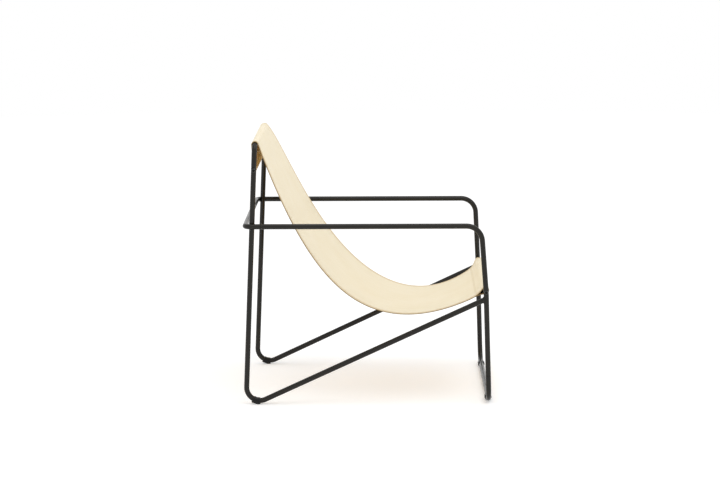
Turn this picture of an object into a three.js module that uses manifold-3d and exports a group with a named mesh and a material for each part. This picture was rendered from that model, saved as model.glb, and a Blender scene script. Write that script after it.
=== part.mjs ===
// Sling lounge chair: a leather sheet slung between the rails of a bent steel tube frame.
// Millimetres, +Z up, +X towards the front of the seat, +Y to the sitter's left.
import * as THREE from 'three';
import { mergeVertices } from 'three/addons/utils/BufferGeometryUtils.js';
import Module from 'manifold-3d';

const wasm = await Module();
wasm.setup();

// Tube and fits
const FRAME_WIDTH = 631;
const TUBE_DIAMETER = 16;
const TUBE_WALL = 1.5;
const CLEARANCE = 0.3;

// Heights above the floor, to tube axes; the sling rail hangs below the top rail,
// and the brace meets the front leg below the seat rail
const TOP_RAIL_HEIGHT = 788.5;
const SLING_RAIL_DROP = 74.5;
const ARM_HEIGHT = 546;
const SEAT_RAIL_HEIGHT = 345;
const BRACE_DROP = 20.2;

// Rear and front legs: axis position at floor level, and lean from upright in degrees;
// the front leg has a slight knee at the seat rail and leans further above it
const REAR_LEG_X = -372;
const REAR_LEG_LEAN = 2.54;
const FRONT_LEG_X = 364.3;
const FRONT_LEG_LEAN = -1.64;
const FRONT_UPPER_LEAN = -3.7;

// Bends, as centre-line radii; the rear arm bar stands behind the legs by a small gap
const TOP_BEND = 24;
const REAR_FOOT_BEND = 40;
const ARM_BEND = 48;
const KNEE_BEND = 400;
const FLOOR_BAR_BEND = 48;
const REAR_BAR_GAP = 4;

// Tube joints: straight stub past a bend, and the spigot inside each joint
const JOINT_STUB = 30;
const BACK_JOINT_RISE = 8;
const SPIGOT_LENGTH = 50;

// Rails that carry the sling, and their fasteners: a tube at the seat, a thin rod inside the rear hem
const BACK_ROD_DIAMETER = 10;
const BOLT_DIAMETER = 6;
const BOLT_HEAD_DIAMETER = 10;
const BOLT_HEAD_HEIGHT = 2.4;
const BOLT_RIM_HEIGHT = 0.8;
const BOLT_CROWN_DIAMETER = 6.4;
const HEX_KEY = 4;
const HEX_DEPTH = 1.6;
const WASHER_DIAMETER = 11;
const WASHER_THICKNESS = 1;
const INSERT_LENGTH = 22;
const BOLT_ENGAGEMENT = 16;

// Floor glides: a sleeve clipped round the tube and open along its top, a flat sole under it
// and a stem in a drilled hole; a rear one follows a few steps of the foot's bend
const GLIDE_SOLE = 2.5;
const GLIDE_WALL = 2.5;
const GLIDE_SLOT = 9;
const GLIDE_LENGTH = 24;
const GLIDE_ARC_STEPS = 3;
const GLIDE_HEEL_LENGTH = 7;
const GLIDE_HEEL_RISE = 2.6;
const SOLE_LENGTH = 10;
const SOLE_WIDTH = 12;
const GLIDE_STEM_DIAMETER = 5;
const GLIDE_STEM_LENGTH = 4;
const FRONT_GLIDE_INSET = 8;
const REAR_GLIDE_SETBACK = 11;

// Leather sling
const LEATHER = 2.5;
const SLING_SIDE_GAP = 8;
const FRONT_SEAM_BACK = 18.7;
const FRONT_SEAM_DROP = 16;
const HEM_SEAM_RISE = 20;
const SEAM_MARGIN = 10;

// Side curve of the sling along each edge: angle and reach where it leaves the top rail,
// depth of its middle below the straight line to the seam, angle and reach at the seam
const RIGHT_EDGE = { leave: 70.8, leaveReach: 306, depth: 231, arrive: 24.9, arriveReach: 391 };
const LEFT_EDGE = { leave: 54, leaveReach: 164, depth: 270, arrive: 41.5, arriveReach: 291 };

// Facets
const TUBE_SIDES = 16;
const ARC_STEP = 11.5;
const SPAN_STEPS = 34;
const WRAP_STEPS = 8;
const TUNNEL_STEPS = 14;
const SLING_STRIPS = 4;
const WELD_TOLERANCE = 1e-4;

const tubeRadius = TUBE_DIAMETER / 2;
const boreRadius = tubeRadius - TUBE_WALL;
const spigotRadius = boreRadius - CLEARANCE;
const boltHoleRadius = BOLT_DIAMETER / 2 + CLEARANCE;
const rodRadius = BACK_ROD_DIAMETER / 2;
const clipRadius = tubeRadius + CLEARANCE + GLIDE_WALL;
const footHeight = GLIDE_SOLE + CLEARANCE + tubeRadius;
const armY = FRAME_WIDTH / 2 - tubeRadius;
const rearLegY = armY - TUBE_DIAMETER - CLEARANCE;
const cornerBend = TUBE_DIAMETER + REAR_BAR_GAP;
const slingRailHeight = TOP_RAIL_HEIGHT - SLING_RAIL_DROP;
const braceHeight = SEAT_RAIL_HEIGHT - BRACE_DROP;
const backJointHeight = slingRailHeight + BACK_JOINT_RISE;
const floorJointHeight = footHeight + FLOOR_BAR_BEND + JOINT_STUB;
const SIDES = [
  { name: 'left', sign: 1 },
  { name: 'right', sign: -1 },
];

const leanSlope = (lean) => Math.tan(THREE.MathUtils.degToRad(lean));
const rearLegX = (z) => REAR_LEG_X + z * leanSlope(REAR_LEG_LEAN);
const frontLegX = (z) => {
  const above = Math.max(z - SEAT_RAIL_HEIGHT, 0);
  return FRONT_LEG_X + (z - above) * leanSlope(FRONT_LEG_LEAN) + above * leanSlope(FRONT_UPPER_LEAN);
};
const rearBarX = rearLegX(ARM_HEIGHT) - cornerBend;

// Finishes
const finish = (color, roughness, metalness) => (
  () => new THREE.MeshStandardMaterial({ color, roughness, metalness })
);
const powderCoat = finish(0x2f2e2b, 0.48, 0.2);
const blackSteel = finish(0x22221f, 0.4, 0.7);
const bareSteel = finish(0x9a9a98, 0.35, 0.9);
const plastic = finish(0x1b1b1a, 0.6, 0);
const leather = finish(0xf1e5c9, 0.7, 0);

// A path of straight runs joined by round bends, with a station at each end and along each arc
class BentPath extends THREE.Curve {
  constructor(corners, radii) {
    super();
    this.stations = [];
    const last = corners.length - 1;
    const toward = (a, b) => b.clone().sub(a).normalize();
    this.stations.push({ point: corners[0].clone(), tangent: toward(corners[0], corners[1]) });
    for (let i = 1; i < last; i += 1) {
      const inward = toward(corners[i - 1], corners[i]);
      const outward = toward(corners[i], corners[i + 1]);
      this.addBend(corners[i], inward, outward, radii[i - 1]);
    }
    this.stations.push({ point: corners[last].clone(), tangent: toward(corners[last - 1], corners[last]) });
  }

  addBend(corner, inward, outward, radius) {
    const turn = inward.angleTo(outward);
    const start = corner.clone().addScaledVector(inward, -radius * Math.tan(turn / 2));
    const side = outward.clone().addScaledVector(inward, -outward.dot(inward)).normalize();
    const steps = Math.ceil(THREE.MathUtils.radToDeg(turn) / ARC_STEP);
    for (let i = 0; i <= steps; i += 1) {
      const angle = (turn * i) / steps;
      const point = start.clone()
        .addScaledVector(inward, radius * Math.sin(angle))
        .addScaledVector(side, radius * (1 - Math.cos(angle)));
      const tangent = inward.clone().multiplyScalar(Math.cos(angle)).addScaledVector(side, Math.sin(angle));
      this.stations.push({ point, tangent });
    }
  }

  // A run of this path's stations as a path of its own
  slice(first, last) {
    const run = new BentPath([this.stations[first].point, this.stations[last].point], []);
    run.stations = this.stations.slice(first, last + 1);
    return run;
  }

  station(u) {
    return this.stations[Math.round(u * (this.stations.length - 1))];
  }

  getPoint(u) {
    return this.station(u).point.clone();
  }

  getPointAt(u) {
    return this.getPoint(u);
  }

  getTangent(u) {
    return this.station(u).tangent.clone();
  }

  getTangentAt(u) {
    return this.getTangent(u);
  }
}

// Fourth-order curve drawn by five guide points
class BezierSpan extends THREE.Curve {
  constructor(guides) {
    super();
    this.guides = guides;
  }

  getPoint(t) {
    let points = this.guides;
    while (points.length > 1) {
      points = points.slice(1).map((point, i) => points[i].clone().lerp(point, t));
    }
    return points[0];
  }
}

function sweep(path, outer, inner = 0) {
  const section = new THREE.Shape().absarc(0, 0, outer, 0, Math.PI * 2);
  if (inner > 0) {
    section.holes.push(new THREE.Path().absarc(0, 0, inner, 0, Math.PI * 2, true));
  }
  return new THREE.ExtrudeGeometry(section, {
    extrudePath: path,
    steps: path.stations.length - 1,
    curveSegments: TUBE_SIDES / 2,
    bevelEnabled: false,
  });
}

const tube = (path) => sweep(path, tubeRadius, boreRadius);
const tubeSpace = (path) => sweep(path, tubeRadius + CLEARANCE);
const at = (x, y, z) => new THREE.Vector3(x, y, z);

// Booleans
function solid(geometry) {
  const bare = geometry.clone();
  bare.deleteAttribute('normal');
  bare.deleteAttribute('uv');
  const merged = mergeVertices(bare, WELD_TOLERANCE);
  return new wasm.Manifold(new wasm.Mesh({
    numProp: 3,
    vertProperties: new Float32Array(merged.attributes.position.array),
    triVerts: new Uint32Array(merged.index.array),
  }));
}

function toGeometry(manifold) {
  const { vertProperties, triVerts } = manifold.getMesh();
  const geometry = new THREE.BufferGeometry();
  geometry.setAttribute('position', new THREE.BufferAttribute(vertProperties, 3));
  geometry.setIndex(new THREE.BufferAttribute(triVerts, 1));
  geometry.computeVertexNormals();
  return geometry;
}

function cut(geometry, ...tools) {
  return toGeometry(tools.reduce((body, tool) => body.subtract(solid(tool)), solid(geometry)));
}

function join(...geometries) {
  return toGeometry(geometries.map(solid).reduce((body, next) => body.add(next)));
}

function crossHole(x, y, z, radius) {
  return new THREE.CylinderGeometry(radius, radius, TUBE_DIAMETER * 2, TUBE_SIDES).translate(x, y, z);
}

const chair = new THREE.Group();

function add(name, geometry, material) {
  const mesh = new THREE.Mesh(geometry, material());
  mesh.name = name;
  chair.add(mesh);
  return mesh;
}

// Where the rear leg's axis and the brace's axis would meet below the rounded rear foot
function rearFootCorner() {
  const lean = THREE.MathUtils.degToRad(REAR_LEG_LEAN);
  const up = new THREE.Vector2(Math.sin(lean), Math.cos(lean));
  const forward = new THREE.Vector2(up.y, -up.x);
  const centreHeight = footHeight + REAR_FOOT_BEND;
  const along = (centreHeight - REAR_FOOT_BEND * forward.y) / up.y;
  const centre = new THREE.Vector2(REAR_LEG_X, 0)
    .addScaledVector(up, along)
    .addScaledVector(forward, REAR_FOOT_BEND);
  const joint = new THREE.Vector2(frontLegX(braceHeight), braceHeight);
  const back = centre.clone().sub(joint);
  const slope = back.angle() + Math.asin(REAR_FOOT_BEND / back.length());
  const brace = new THREE.Vector2(Math.cos(slope), Math.sin(slope));
  const offset = new THREE.Vector2(REAR_LEG_X, 0).sub(joint);
  const reach = (offset.x * up.y - offset.y * up.x) / (brace.x * up.y - brace.y * up.x);
  const glideX = centre.x - REAR_GLIDE_SETBACK;
  return { corner: joint.addScaledVector(brace, reach), centre, glideX };
}

// Paths of the bent tubes
const rearFoot = rearFootCorner();

const armPath = ({ sign }) => new BentPath([
  at(rearBarX + cornerBend + JOINT_STUB + CLEARANCE, sign * armY, ARM_HEIGHT),
  at(frontLegX(ARM_HEIGHT), sign * armY, ARM_HEIGHT),
  at(frontLegX(SEAT_RAIL_HEIGHT), sign * armY, SEAT_RAIL_HEIGHT),
  at(frontLegX(floorJointHeight + CLEARANCE), sign * armY, floorJointHeight + CLEARANCE),
], [ARM_BEND, KNEE_BEND]);

const rearLegPath = ({ sign }) => new BentPath([
  at(rearLegX(backJointHeight), sign * rearLegY, backJointHeight),
  at(rearFoot.corner.x, sign * rearLegY, rearFoot.corner.y),
  at(frontLegX(braceHeight), sign * armY, braceHeight),
], [REAR_FOOT_BEND]);

const topRailPath = new BentPath([
  at(rearLegX(backJointHeight + CLEARANCE), rearLegY, backJointHeight + CLEARANCE),
  at(rearLegX(TOP_RAIL_HEIGHT), rearLegY, TOP_RAIL_HEIGHT),
  at(rearLegX(TOP_RAIL_HEIGHT), -rearLegY, TOP_RAIL_HEIGHT),
  at(rearLegX(backJointHeight + CLEARANCE), -rearLegY, backJointHeight + CLEARANCE),
], [TOP_BEND, TOP_BEND]);

const rearBarPath = new BentPath([
  at(rearBarX + cornerBend + JOINT_STUB, armY, ARM_HEIGHT),
  at(rearBarX, armY, ARM_HEIGHT),
  at(rearBarX, -armY, ARM_HEIGHT),
  at(rearBarX + cornerBend + JOINT_STUB, -armY, ARM_HEIGHT),
], [cornerBend, cornerBend]);

const floorBarPath = new BentPath([
  at(frontLegX(floorJointHeight), armY, floorJointHeight),
  at(frontLegX(footHeight), armY, footHeight),
  at(frontLegX(footHeight), -armY, footHeight),
  at(frontLegX(floorJointHeight), -armY, floorJointHeight),
], [FLOOR_BAR_BEND, FLOOR_BAR_BEND]);

// Removable rails between the legs, each held by a bolt at both ends
const seatRail = {
  name: 'front_seat',
  x: frontLegX(SEAT_RAIL_HEIGHT),
  z: SEAT_RAIL_HEIGHT,
  legY: armY,
  legPath: armPath,
  hollow: true,
};
const slingRail = {
  name: 'back_sling',
  x: rearLegX(slingRailHeight),
  z: slingRailHeight,
  legY: rearLegY,
  legPath: rearLegPath,
  hollow: false,
};

const straight = (a, b) => new BentPath([a, b], []);
const boltHole = (rail, sign) => crossHole(rail.x, sign * rail.legY, rail.z, boltHoleRadius);

function stemHole(x, y) {
  const radius = GLIDE_STEM_DIAMETER / 2 + CLEARANCE;
  return new THREE.CylinderGeometry(radius, radius, footHeight, TUBE_SIDES)
    .rotateX(Math.PI / 2)
    .translate(x, y, footHeight / 2);
}

const frontGlideY = armY - FLOOR_BAR_BEND - FRONT_GLIDE_INSET - GLIDE_LENGTH / 2;

function addFrame() {
  add('back_top_rail', tube(topRailPath), powderCoat);
  add('rear_arm_bar', tube(rearBarPath), powderCoat);
  const stems = SIDES.map(({ sign }) => stemHole(frontLegX(footHeight), sign * frontGlideY));
  add('front_floor_bar', cut(tube(floorBarPath), ...stems), powderCoat);
  for (const side of SIDES) {
    const openings = [
      tubeSpace(armPath(side)),
      boltHole(slingRail, side.sign),
      stemHole(rearFoot.glideX, side.sign * rearLegY),
    ];
    add(`rear_leg_${side.name}`, cut(tube(rearLegPath(side)), ...openings), powderCoat);
    add(`armrest_${side.name}`, cut(tube(armPath(side)), boltHole(seatRail, side.sign)), powderCoat);
  }
}

// A round bar inside two tube ends, centred on their joint
function spigot(joint, direction) {
  const half = direction.clone().normalize().multiplyScalar(SPIGOT_LENGTH / 2);
  return sweep(straight(joint.clone().sub(half), joint.clone().add(half)), spigotRadius);
}

function addSpigots() {
  for (const { name, sign } of SIDES) {
    const backJoint = at(rearLegX(backJointHeight), sign * rearLegY, backJointHeight);
    const legAxis = at(rearLegX(1) - rearLegX(0), 0, 1);
    add(`back_spigot_${name}`, cut(spigot(backJoint, legAxis), boltHole(slingRail, sign)), bareSteel);
    const armJoint = at(rearBarX + cornerBend + JOINT_STUB, sign * armY, ARM_HEIGHT);
    add(`arm_spigot_${name}`, spigot(armJoint, at(1, 0, 0)), bareSteel);
    const floorJoint = at(frontLegX(floorJointHeight), sign * armY, floorJointHeight);
    add(`floor_spigot_${name}`, spigot(floorJoint, at(frontLegX(1) - frontLegX(0), 0, 1)), bareSteel);
  }
}

// Button-head bolt along Y, head towards +Y, with the face under its head at the origin
function bolt(length) {
  const shank = BOLT_DIAMETER / 2;
  const head = BOLT_HEAD_DIAMETER / 2;
  const crown = BOLT_CROWN_DIAMETER / 2;
  const profile = [
    [0, -length], [shank, -length], [shank, 0], [head, 0],
    [head, BOLT_RIM_HEIGHT], [crown, BOLT_HEAD_HEIGHT], [0, BOLT_HEAD_HEIGHT],
  ].map(([r, y]) => new THREE.Vector2(r, y));
  const acrossCorners = HEX_KEY / Math.sqrt(3);
  const socket = new THREE.CylinderGeometry(acrossCorners, acrossCorners, HEX_DEPTH * 2, 6);
  return cut(new THREE.LatheGeometry(profile, TUBE_SIDES), socket.translate(0, BOLT_HEAD_HEIGHT, 0));
}

function addRail(rail) {
  const railEnd = rail.legY - tubeRadius - CLEARANCE;
  const axis = (y) => at(rail.x, y, rail.z);
  const path = straight(axis(railEnd), axis(-railEnd));
  const plug = (sign) => straight(axis(sign * railEnd), axis(sign * (railEnd - INSERT_LENGTH)));
  const taps = SIDES.map(({ sign }) => sweep(plug(sign), boltHoleRadius));
  add(`${rail.name}_rail`, rail.hollow ? tube(path) : cut(sweep(path, rodRadius), ...taps), powderCoat);
  const underHead = rail.legY + tubeRadius + WASHER_THICKNESS + CLEARANCE;
  const length = underHead - railEnd + BOLT_ENGAGEMENT;
  for (const side of SIDES) {
    if (rail.hollow) {
      const insert = sweep(plug(side.sign), spigotRadius, boltHoleRadius);
      add(`${rail.name}_insert_${side.name}`, insert, bareSteel);
    }
    const fastener = add(`${rail.name}_bolt_${side.name}`, bolt(length), blackSteel);
    fastener.position.set(rail.x, side.sign * underHead, rail.z);
    fastener.rotation.x = side.sign > 0 ? 0 : Math.PI;
    const ring = straight(axis(side.sign * rail.legY), axis(side.sign * (underHead - CLEARANCE)));
    const blank = sweep(ring, WASHER_DIAMETER / 2, boltHoleRadius);
    add(`${rail.name}_washer_${side.name}`, cut(blank, tubeSpace(rail.legPath(side))), blackSteel);
  }
}

// Sole of a glide along X, flat back from the origin, with a rising heel behind it and a like toe or none
function sole(toeLength) {
  const back = -SOLE_LENGTH - GLIDE_HEEL_LENGTH;
  const top = footHeight / 2;
  const side = new THREE.Shape();
  side.moveTo(-SOLE_LENGTH, 0);
  side.lineTo(0, 0);
  if (toeLength > 0) {
    side.lineTo(toeLength, GLIDE_HEEL_RISE);
  }
  side.lineTo(toeLength, top);
  side.lineTo(back, top);
  side.lineTo(back, GLIDE_HEEL_RISE);
  side.closePath();
  return new THREE.ExtrudeGeometry(side, { depth: SOLE_WIDTH, bevelEnabled: false })
    .translate(0, 0, -SOLE_WIDTH / 2)
    .rotateX(Math.PI / 2);
}

function glideStem(x, y) {
  const top = GLIDE_SOLE + CLEARANCE + TUBE_WALL + GLIDE_STEM_LENGTH;
  const bottom = GLIDE_SOLE / 2;
  const radius = GLIDE_STEM_DIAMETER / 2;
  return new THREE.CylinderGeometry(radius, radius, top - bottom, TUBE_SIDES)
    .rotateX(Math.PI / 2)
    .translate(x, y, (top + bottom) / 2);
}

function clip(run, pad, tubePath, slot, stem) {
  return join(cut(join(sweep(run, clipRadius), pad), tubeSpace(tubePath), slot), stem);
}

function rearGlide(side) {
  const path = rearLegPath(side);
  const heights = path.stations.map((station) => station.point.z);
  const lowest = heights.indexOf(Math.min(...heights));
  const toe = path.stations[lowest].point;
  const y = side.sign * rearLegY;
  const slot = new THREE.CylinderGeometry(REAR_FOOT_BEND, REAR_FOOT_BEND, GLIDE_SLOT, TUBE_SIDES * 4)
    .translate(rearFoot.centre.x, y, rearFoot.centre.y);
  const run = path.slice(lowest - GLIDE_ARC_STEPS, lowest);
  return clip(run, sole(0).translate(toe.x, y, 0), path, slot, glideStem(rearFoot.glideX, y));
}

function frontGlide(side) {
  const x = frontLegX(footHeight);
  const y = side.sign * frontGlideY;
  const run = straight(at(x, y - GLIDE_LENGTH / 2, footHeight), at(x, y + GLIDE_LENGTH / 2, footHeight));
  const pad = sole(GLIDE_HEEL_LENGTH)
    .translate(SOLE_LENGTH / 2, 0, 0)
    .rotateZ(Math.PI / 2)
    .translate(x, y, 0);
  const slot = new THREE.BoxGeometry(GLIDE_SLOT, GLIDE_LENGTH * 2, clipRadius * 2)
    .translate(x, y, footHeight + clipRadius);
  return clip(run, pad, floorBarPath, slot, glideStem(x, y));
}

function addGlides() {
  for (const side of SIDES) {
    add(`rear_glide_${side.name}`, rearGlide(side), plastic);
    add(`front_glide_${side.name}`, frontGlide(side), plastic);
  }
}

// The sling's side view is drawn in X and Z as 2D points
const flat = (x, z) => new THREE.Vector2(x, z);
const heading = (degrees) => flat(
  Math.cos(THREE.MathUtils.degToRad(degrees)),
  Math.sin(THREE.MathUtils.degToRad(degrees)),
);
const wrapRadius = tubeRadius + CLEARANCE + LEATHER / 2;
const hemRadius = rodRadius + CLEARANCE + LEATHER / 2;
const slingHalfWidth = rearLegY - tubeRadius - SLING_SIDE_GAP;
const topRailAxis = flat(rearLegX(TOP_RAIL_HEIGHT), TOP_RAIL_HEIGHT);
const slingRailAxis = flat(slingRail.x, slingRail.z);
const seatRailAxis = flat(seatRail.x, seatRail.z);
const frontSeam = seatRailAxis.clone().sub(flat(FRONT_SEAM_BACK, FRONT_SEAM_DROP));
const hoopUp = heading(90 - REAR_LEG_LEAN);
const hoopBack = flat(-hoopUp.y, hoopUp.x);

// The rear flap lies on the line that touches the wraps round the top rail and the rod
const flapTilt = Math.asin((wrapRadius - hemRadius) / topRailAxis.distanceTo(slingRailAxis));
const flapOut = hoopBack.clone()
  .multiplyScalar(Math.cos(flapTilt))
  .addScaledVector(hoopUp, Math.sin(flapTilt));
const flapUp = flat(flapOut.y, -flapOut.x);
const hemSeam = slingRailAxis.clone()
  .addScaledVector(flapOut, hemRadius)
  .addScaledVector(flapUp, HEM_SEAM_RISE);

// Outline of a loop of sheet drawn tight from a seam round a rail
function teardrop(axis, radius, apex) {
  const toAxis = axis.clone().sub(apex);
  const halfAngle = Math.asin(radius / toAxis.length());
  const start = toAxis.angle() - Math.PI / 2 - halfAngle;
  const turn = Math.PI + halfAngle * 2;
  const points = [apex];
  for (let i = 0; i <= TUNNEL_STEPS; i += 1) {
    const angle = start + (turn * i) / TUNNEL_STEPS;
    points.push(axis.clone().add(flat(Math.cos(angle), Math.sin(angle)).multiplyScalar(radius)));
  }
  return points;
}

function tunnel(axis, seam, radius) {
  const toAxis = axis.clone().sub(seam);
  const spread = LEATHER / 2 / (radius / toAxis.length());
  const outerApex = seam.clone().addScaledVector(toAxis.clone().normalize(), -spread);
  const innerApex = seam.clone().addScaledVector(toAxis.clone().normalize(), spread);
  const section = new THREE.Shape(teardrop(axis, radius + LEATHER / 2, outerApex));
  section.holes.push(new THREE.Path(teardrop(axis, radius - LEATHER / 2, innerApex)));
  return new THREE.ExtrudeGeometry(section, { depth: slingHalfWidth * 2, bevelEnabled: false })
    .rotateX(Math.PI / 2)
    .translate(0, slingHalfWidth, 0);
}

// Middle line of the sheet from the rear hem seam, over the top rail, down the back and along the seat
function sheetLine(edge) {
  const leaveDirection = heading(-edge.leave);
  const line = [hemSeam.clone(), hemSeam.clone().addScaledVector(flapUp, SEAM_MARGIN)];
  const firstAngle = flapOut.angle();
  const lastAngle = THREE.MathUtils.degToRad(90 - edge.leave);
  for (let i = 0; i <= WRAP_STEPS; i += 1) {
    const angle = THREE.MathUtils.lerp(firstAngle, lastAngle, i / WRAP_STEPS);
    line.push(topRailAxis.clone().add(flat(Math.cos(angle), Math.sin(angle)).multiplyScalar(wrapRadius)));
  }
  const leave = line[line.length - 1];
  const chord = frontSeam.clone().sub(leave);
  const below = flat(chord.y, -chord.x).normalize();
  const span = new BezierSpan([
    leave,
    leave.clone().addScaledVector(leaveDirection, edge.leaveReach),
    leave.clone().addScaledVector(chord, 0.5).addScaledVector(below, edge.depth),
    frontSeam.clone().addScaledVector(heading(edge.arrive), -edge.arriveReach),
    frontSeam,
  ]);
  const length = span.getLength();
  for (let i = 1; i < SPAN_STEPS; i += 1) {
    line.push(span.getPointAt((i / SPAN_STEPS) * (1 - SEAM_MARGIN / length)));
  }
  line.push(span.getPointAt(1 - SEAM_MARGIN / length), frontSeam.clone());
  return line;
}

// Closed outline of the sheet about its middle line, twice as thick under the two stitched margins
function sheetOutline(line) {
  const last = line.length - 1;
  const upper = [];
  const lower = [];
  line.forEach((point, i) => {
    const along = line[Math.min(i + 1, last)].clone().sub(line[Math.max(i - 1, 0)]).normalize();
    const up = flat(-along.y, along.x);
    const offset = (distance) => point.clone().addScaledVector(up, distance);
    upper.push(offset(LEATHER / 2));
    const doubled = offset(-LEATHER / 2 - LEATHER);
    const single = offset(-LEATHER / 2);
    if (i === 1) lower.push(doubled, single);
    else if (i === last - 1) lower.push(single, doubled);
    else lower.push(i === 0 || i === last ? doubled : single);
  });
  return [...upper.reverse(), ...lower];
}

// Skin over matching outlines at successive places along Y
function loft(outlines, places) {
  const count = outlines[0].length;
  const positions = outlines.flatMap((outline, row) => (
    outline.flatMap((point) => [point.x, places[row], point.y])
  ));
  const faces = THREE.ShapeUtils.triangulateShape(outlines[0], []);
  const lastRow = (outlines.length - 1) * count;
  const triangles = faces.flatMap(([a, b, c]) => [a, b, c, lastRow + c, lastRow + b, lastRow + a]);
  for (let row = 0; row + 1 < outlines.length; row += 1) {
    for (let i = 0; i < count; i += 1) {
      const a = row * count + i;
      const b = row * count + ((i + 1) % count);
      triangles.push(a, a + count, b, b, a + count, b + count);
    }
  }
  const geometry = new THREE.BufferGeometry();
  geometry.setAttribute('position', new THREE.Float32BufferAttribute(positions, 3));
  geometry.setIndex(triangles);
  return geometry;
}

function addSling() {
  const right = sheetOutline(sheetLine(RIGHT_EDGE));
  const left = sheetOutline(sheetLine(LEFT_EDGE));
  const outlines = [];
  const places = [];
  for (let i = 0; i <= SLING_STRIPS; i += 1) {
    const share = i / SLING_STRIPS;
    outlines.push(right.map((point, k) => point.clone().lerp(left[k], share)));
    places.push(THREE.MathUtils.lerp(-slingHalfWidth, slingHalfWidth, share));
  }
  const sheet = loft(outlines, places);
  const hem = tunnel(slingRailAxis, hemSeam, hemRadius);
  const sling = join(sheet, hem, tunnel(seatRailAxis, frontSeam, wrapRadius));
  add('leather_sling', sling, leather);
}

addFrame();
addSpigots();
addRail(seatRail);
addRail(slingRail);
addGlides();
addSling();

// Stand the chair with its footprint centred on the origin
const footprint = new THREE.Box3().setFromObject(chair).getCenter(new THREE.Vector3());
chair.position.set(-footprint.x, -footprint.y, 0);

export default chair;
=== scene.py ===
"""Dresses a sling lounge chair: a leather sheet slung in a frame of bent, powder-coated steel tube."""

import logging
import math
from collections.abc import Sequence
from dataclasses import dataclass, field
from enum import Enum

import bpy
import numpy as np
from mathutils import Matrix, Vector


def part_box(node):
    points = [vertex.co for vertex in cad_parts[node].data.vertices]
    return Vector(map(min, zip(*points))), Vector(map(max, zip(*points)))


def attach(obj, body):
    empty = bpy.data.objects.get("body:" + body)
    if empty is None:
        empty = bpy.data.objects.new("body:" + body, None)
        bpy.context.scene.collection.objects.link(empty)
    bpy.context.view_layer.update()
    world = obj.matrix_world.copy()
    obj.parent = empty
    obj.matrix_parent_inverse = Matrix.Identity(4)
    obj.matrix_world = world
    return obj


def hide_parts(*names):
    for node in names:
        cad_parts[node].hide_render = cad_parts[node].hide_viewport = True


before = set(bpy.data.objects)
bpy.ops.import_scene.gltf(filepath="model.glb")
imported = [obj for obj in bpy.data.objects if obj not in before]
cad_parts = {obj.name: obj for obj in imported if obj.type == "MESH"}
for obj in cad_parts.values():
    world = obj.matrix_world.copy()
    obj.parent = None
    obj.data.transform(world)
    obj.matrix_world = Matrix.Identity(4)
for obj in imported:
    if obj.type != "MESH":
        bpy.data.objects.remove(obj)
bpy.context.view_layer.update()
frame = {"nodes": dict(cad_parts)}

LOG = logging.getLogger("sling_chair")
BODY = "root"
SHEET_MAP = "sheet"
BEND_STEP = 3.0
AXIS_X, AXIS_Y, AXIS_Z = Vector((1, 0, 0)), Vector((0, 1, 0)), Vector((0, 0, 1))


class Side(Enum):
    """Side of the chair, by the sign of Y there."""

    LEFT = 1
    RIGHT = -1

    @property
    def label(self) -> str:
        """Side's name as the CAD nodes end."""
        return self.name.lower()


class SheetFace(Enum):
    """Faces of the leather sheet, numbered as its material slots."""

    GRAIN = 0
    FLESH = 1
    EDGE = 2


class Slot(Enum):
    """Material slots of the part's record."""

    COAT = "powder_coat"
    FASTENER = "black_fasteners"
    GLIDE = "glide_plastic"
    LEATHER = "sling_leather"


class NodeBench:
    """Short calls that place nodes in one tree and join their sockets."""

    def __init__(self, tree: bpy.types.NodeTree) -> None:
        """Keeps the tree that the nodes go into."""
        self.tree = tree

    def place(self, kind: str, inputs: dict | None = None, **settings: object) -> bpy.types.Node:
        """Places one node.

        Args:
            kind: Blender's name for the node type.
            inputs: Sockets or plain values, by the name or number of the input.
            settings: Attributes of the node.

        Returns:
            The new node.
        """
        node = self.tree.nodes.new(kind)
        for name, value in settings.items():
            setattr(node, name, value)
        for key, value in (inputs or {}).items():
            if isinstance(value, bpy.types.NodeSocket):
                self.tree.links.new(value, node.inputs[key])
            else:
                node.inputs[key].default_value = value
        return node

    def noise(self, vector: object, scale: object, detail: float = 2.0) -> bpy.types.NodeSocket:
        """Even noise from 0 to 1 over a coordinate."""
        inputs = {"Vector": vector, "Scale": scale, "Detail": detail}
        return self.place("ShaderNodeTexNoise", inputs).outputs["Fac"]

    def calc(self, operation: str, first: object, second: object = 0.0) -> bpy.types.NodeSocket:
        """One arithmetic step on two values."""
        return self.place("ShaderNodeMath", {0: first, 1: second}, operation=operation).outputs[0]

    def stretch(self, vector: object, scale: object) -> bpy.types.NodeSocket:
        """Coordinate multiplied axis by axis."""
        node = self.place("ShaderNodeVectorMath", {0: vector, 1: scale}, operation="MULTIPLY")
        return node.outputs["Vector"]

    def step(self, value: object, low: object, high: object,
             start: float = 0.0, end: float = 1.0) -> bpy.types.NodeSocket:
        """Smooth step between two values.

        Args:
            value: Socket to read.
            low: Value where the step begins.
            high: Value where the step ends.
            start: Result before the step.
            end: Result after the step.

        Returns:
            The stepped value.
        """
        inputs = {"Value": value, "From Min": low, "From Max": high, "To Min": start, "To Max": end}
        node = self.place("ShaderNodeMapRange", inputs, interpolation_type="SMOOTHSTEP")
        return node.outputs["Result"]

    def mix(self, factor: object, first: object, second: object) -> bpy.types.NodeSocket:
        """Mix of two colours by a factor; the node's colour sockets are told apart by number."""
        inputs = {0: factor, 6: first, 7: second}
        return self.place("ShaderNodeMix", inputs, data_type="RGBA").outputs[2]


class EffectGroup(Enum):
    """Shader node groups that several finishes share, each built once."""

    COAT_SKIN = "coat_skin"
    HIDE_GRAIN = "hide_grain"
    HIDE_TONE = "hide_tone"
    SIDE_BAND = "side_band"

    def tree(self) -> bpy.types.NodeTree:
        """Group's tree, built at its first use."""
        made = bpy.data.node_groups.get(self.value)
        return made or getattr(GroupMaker(self.value), self.value)()


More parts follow.
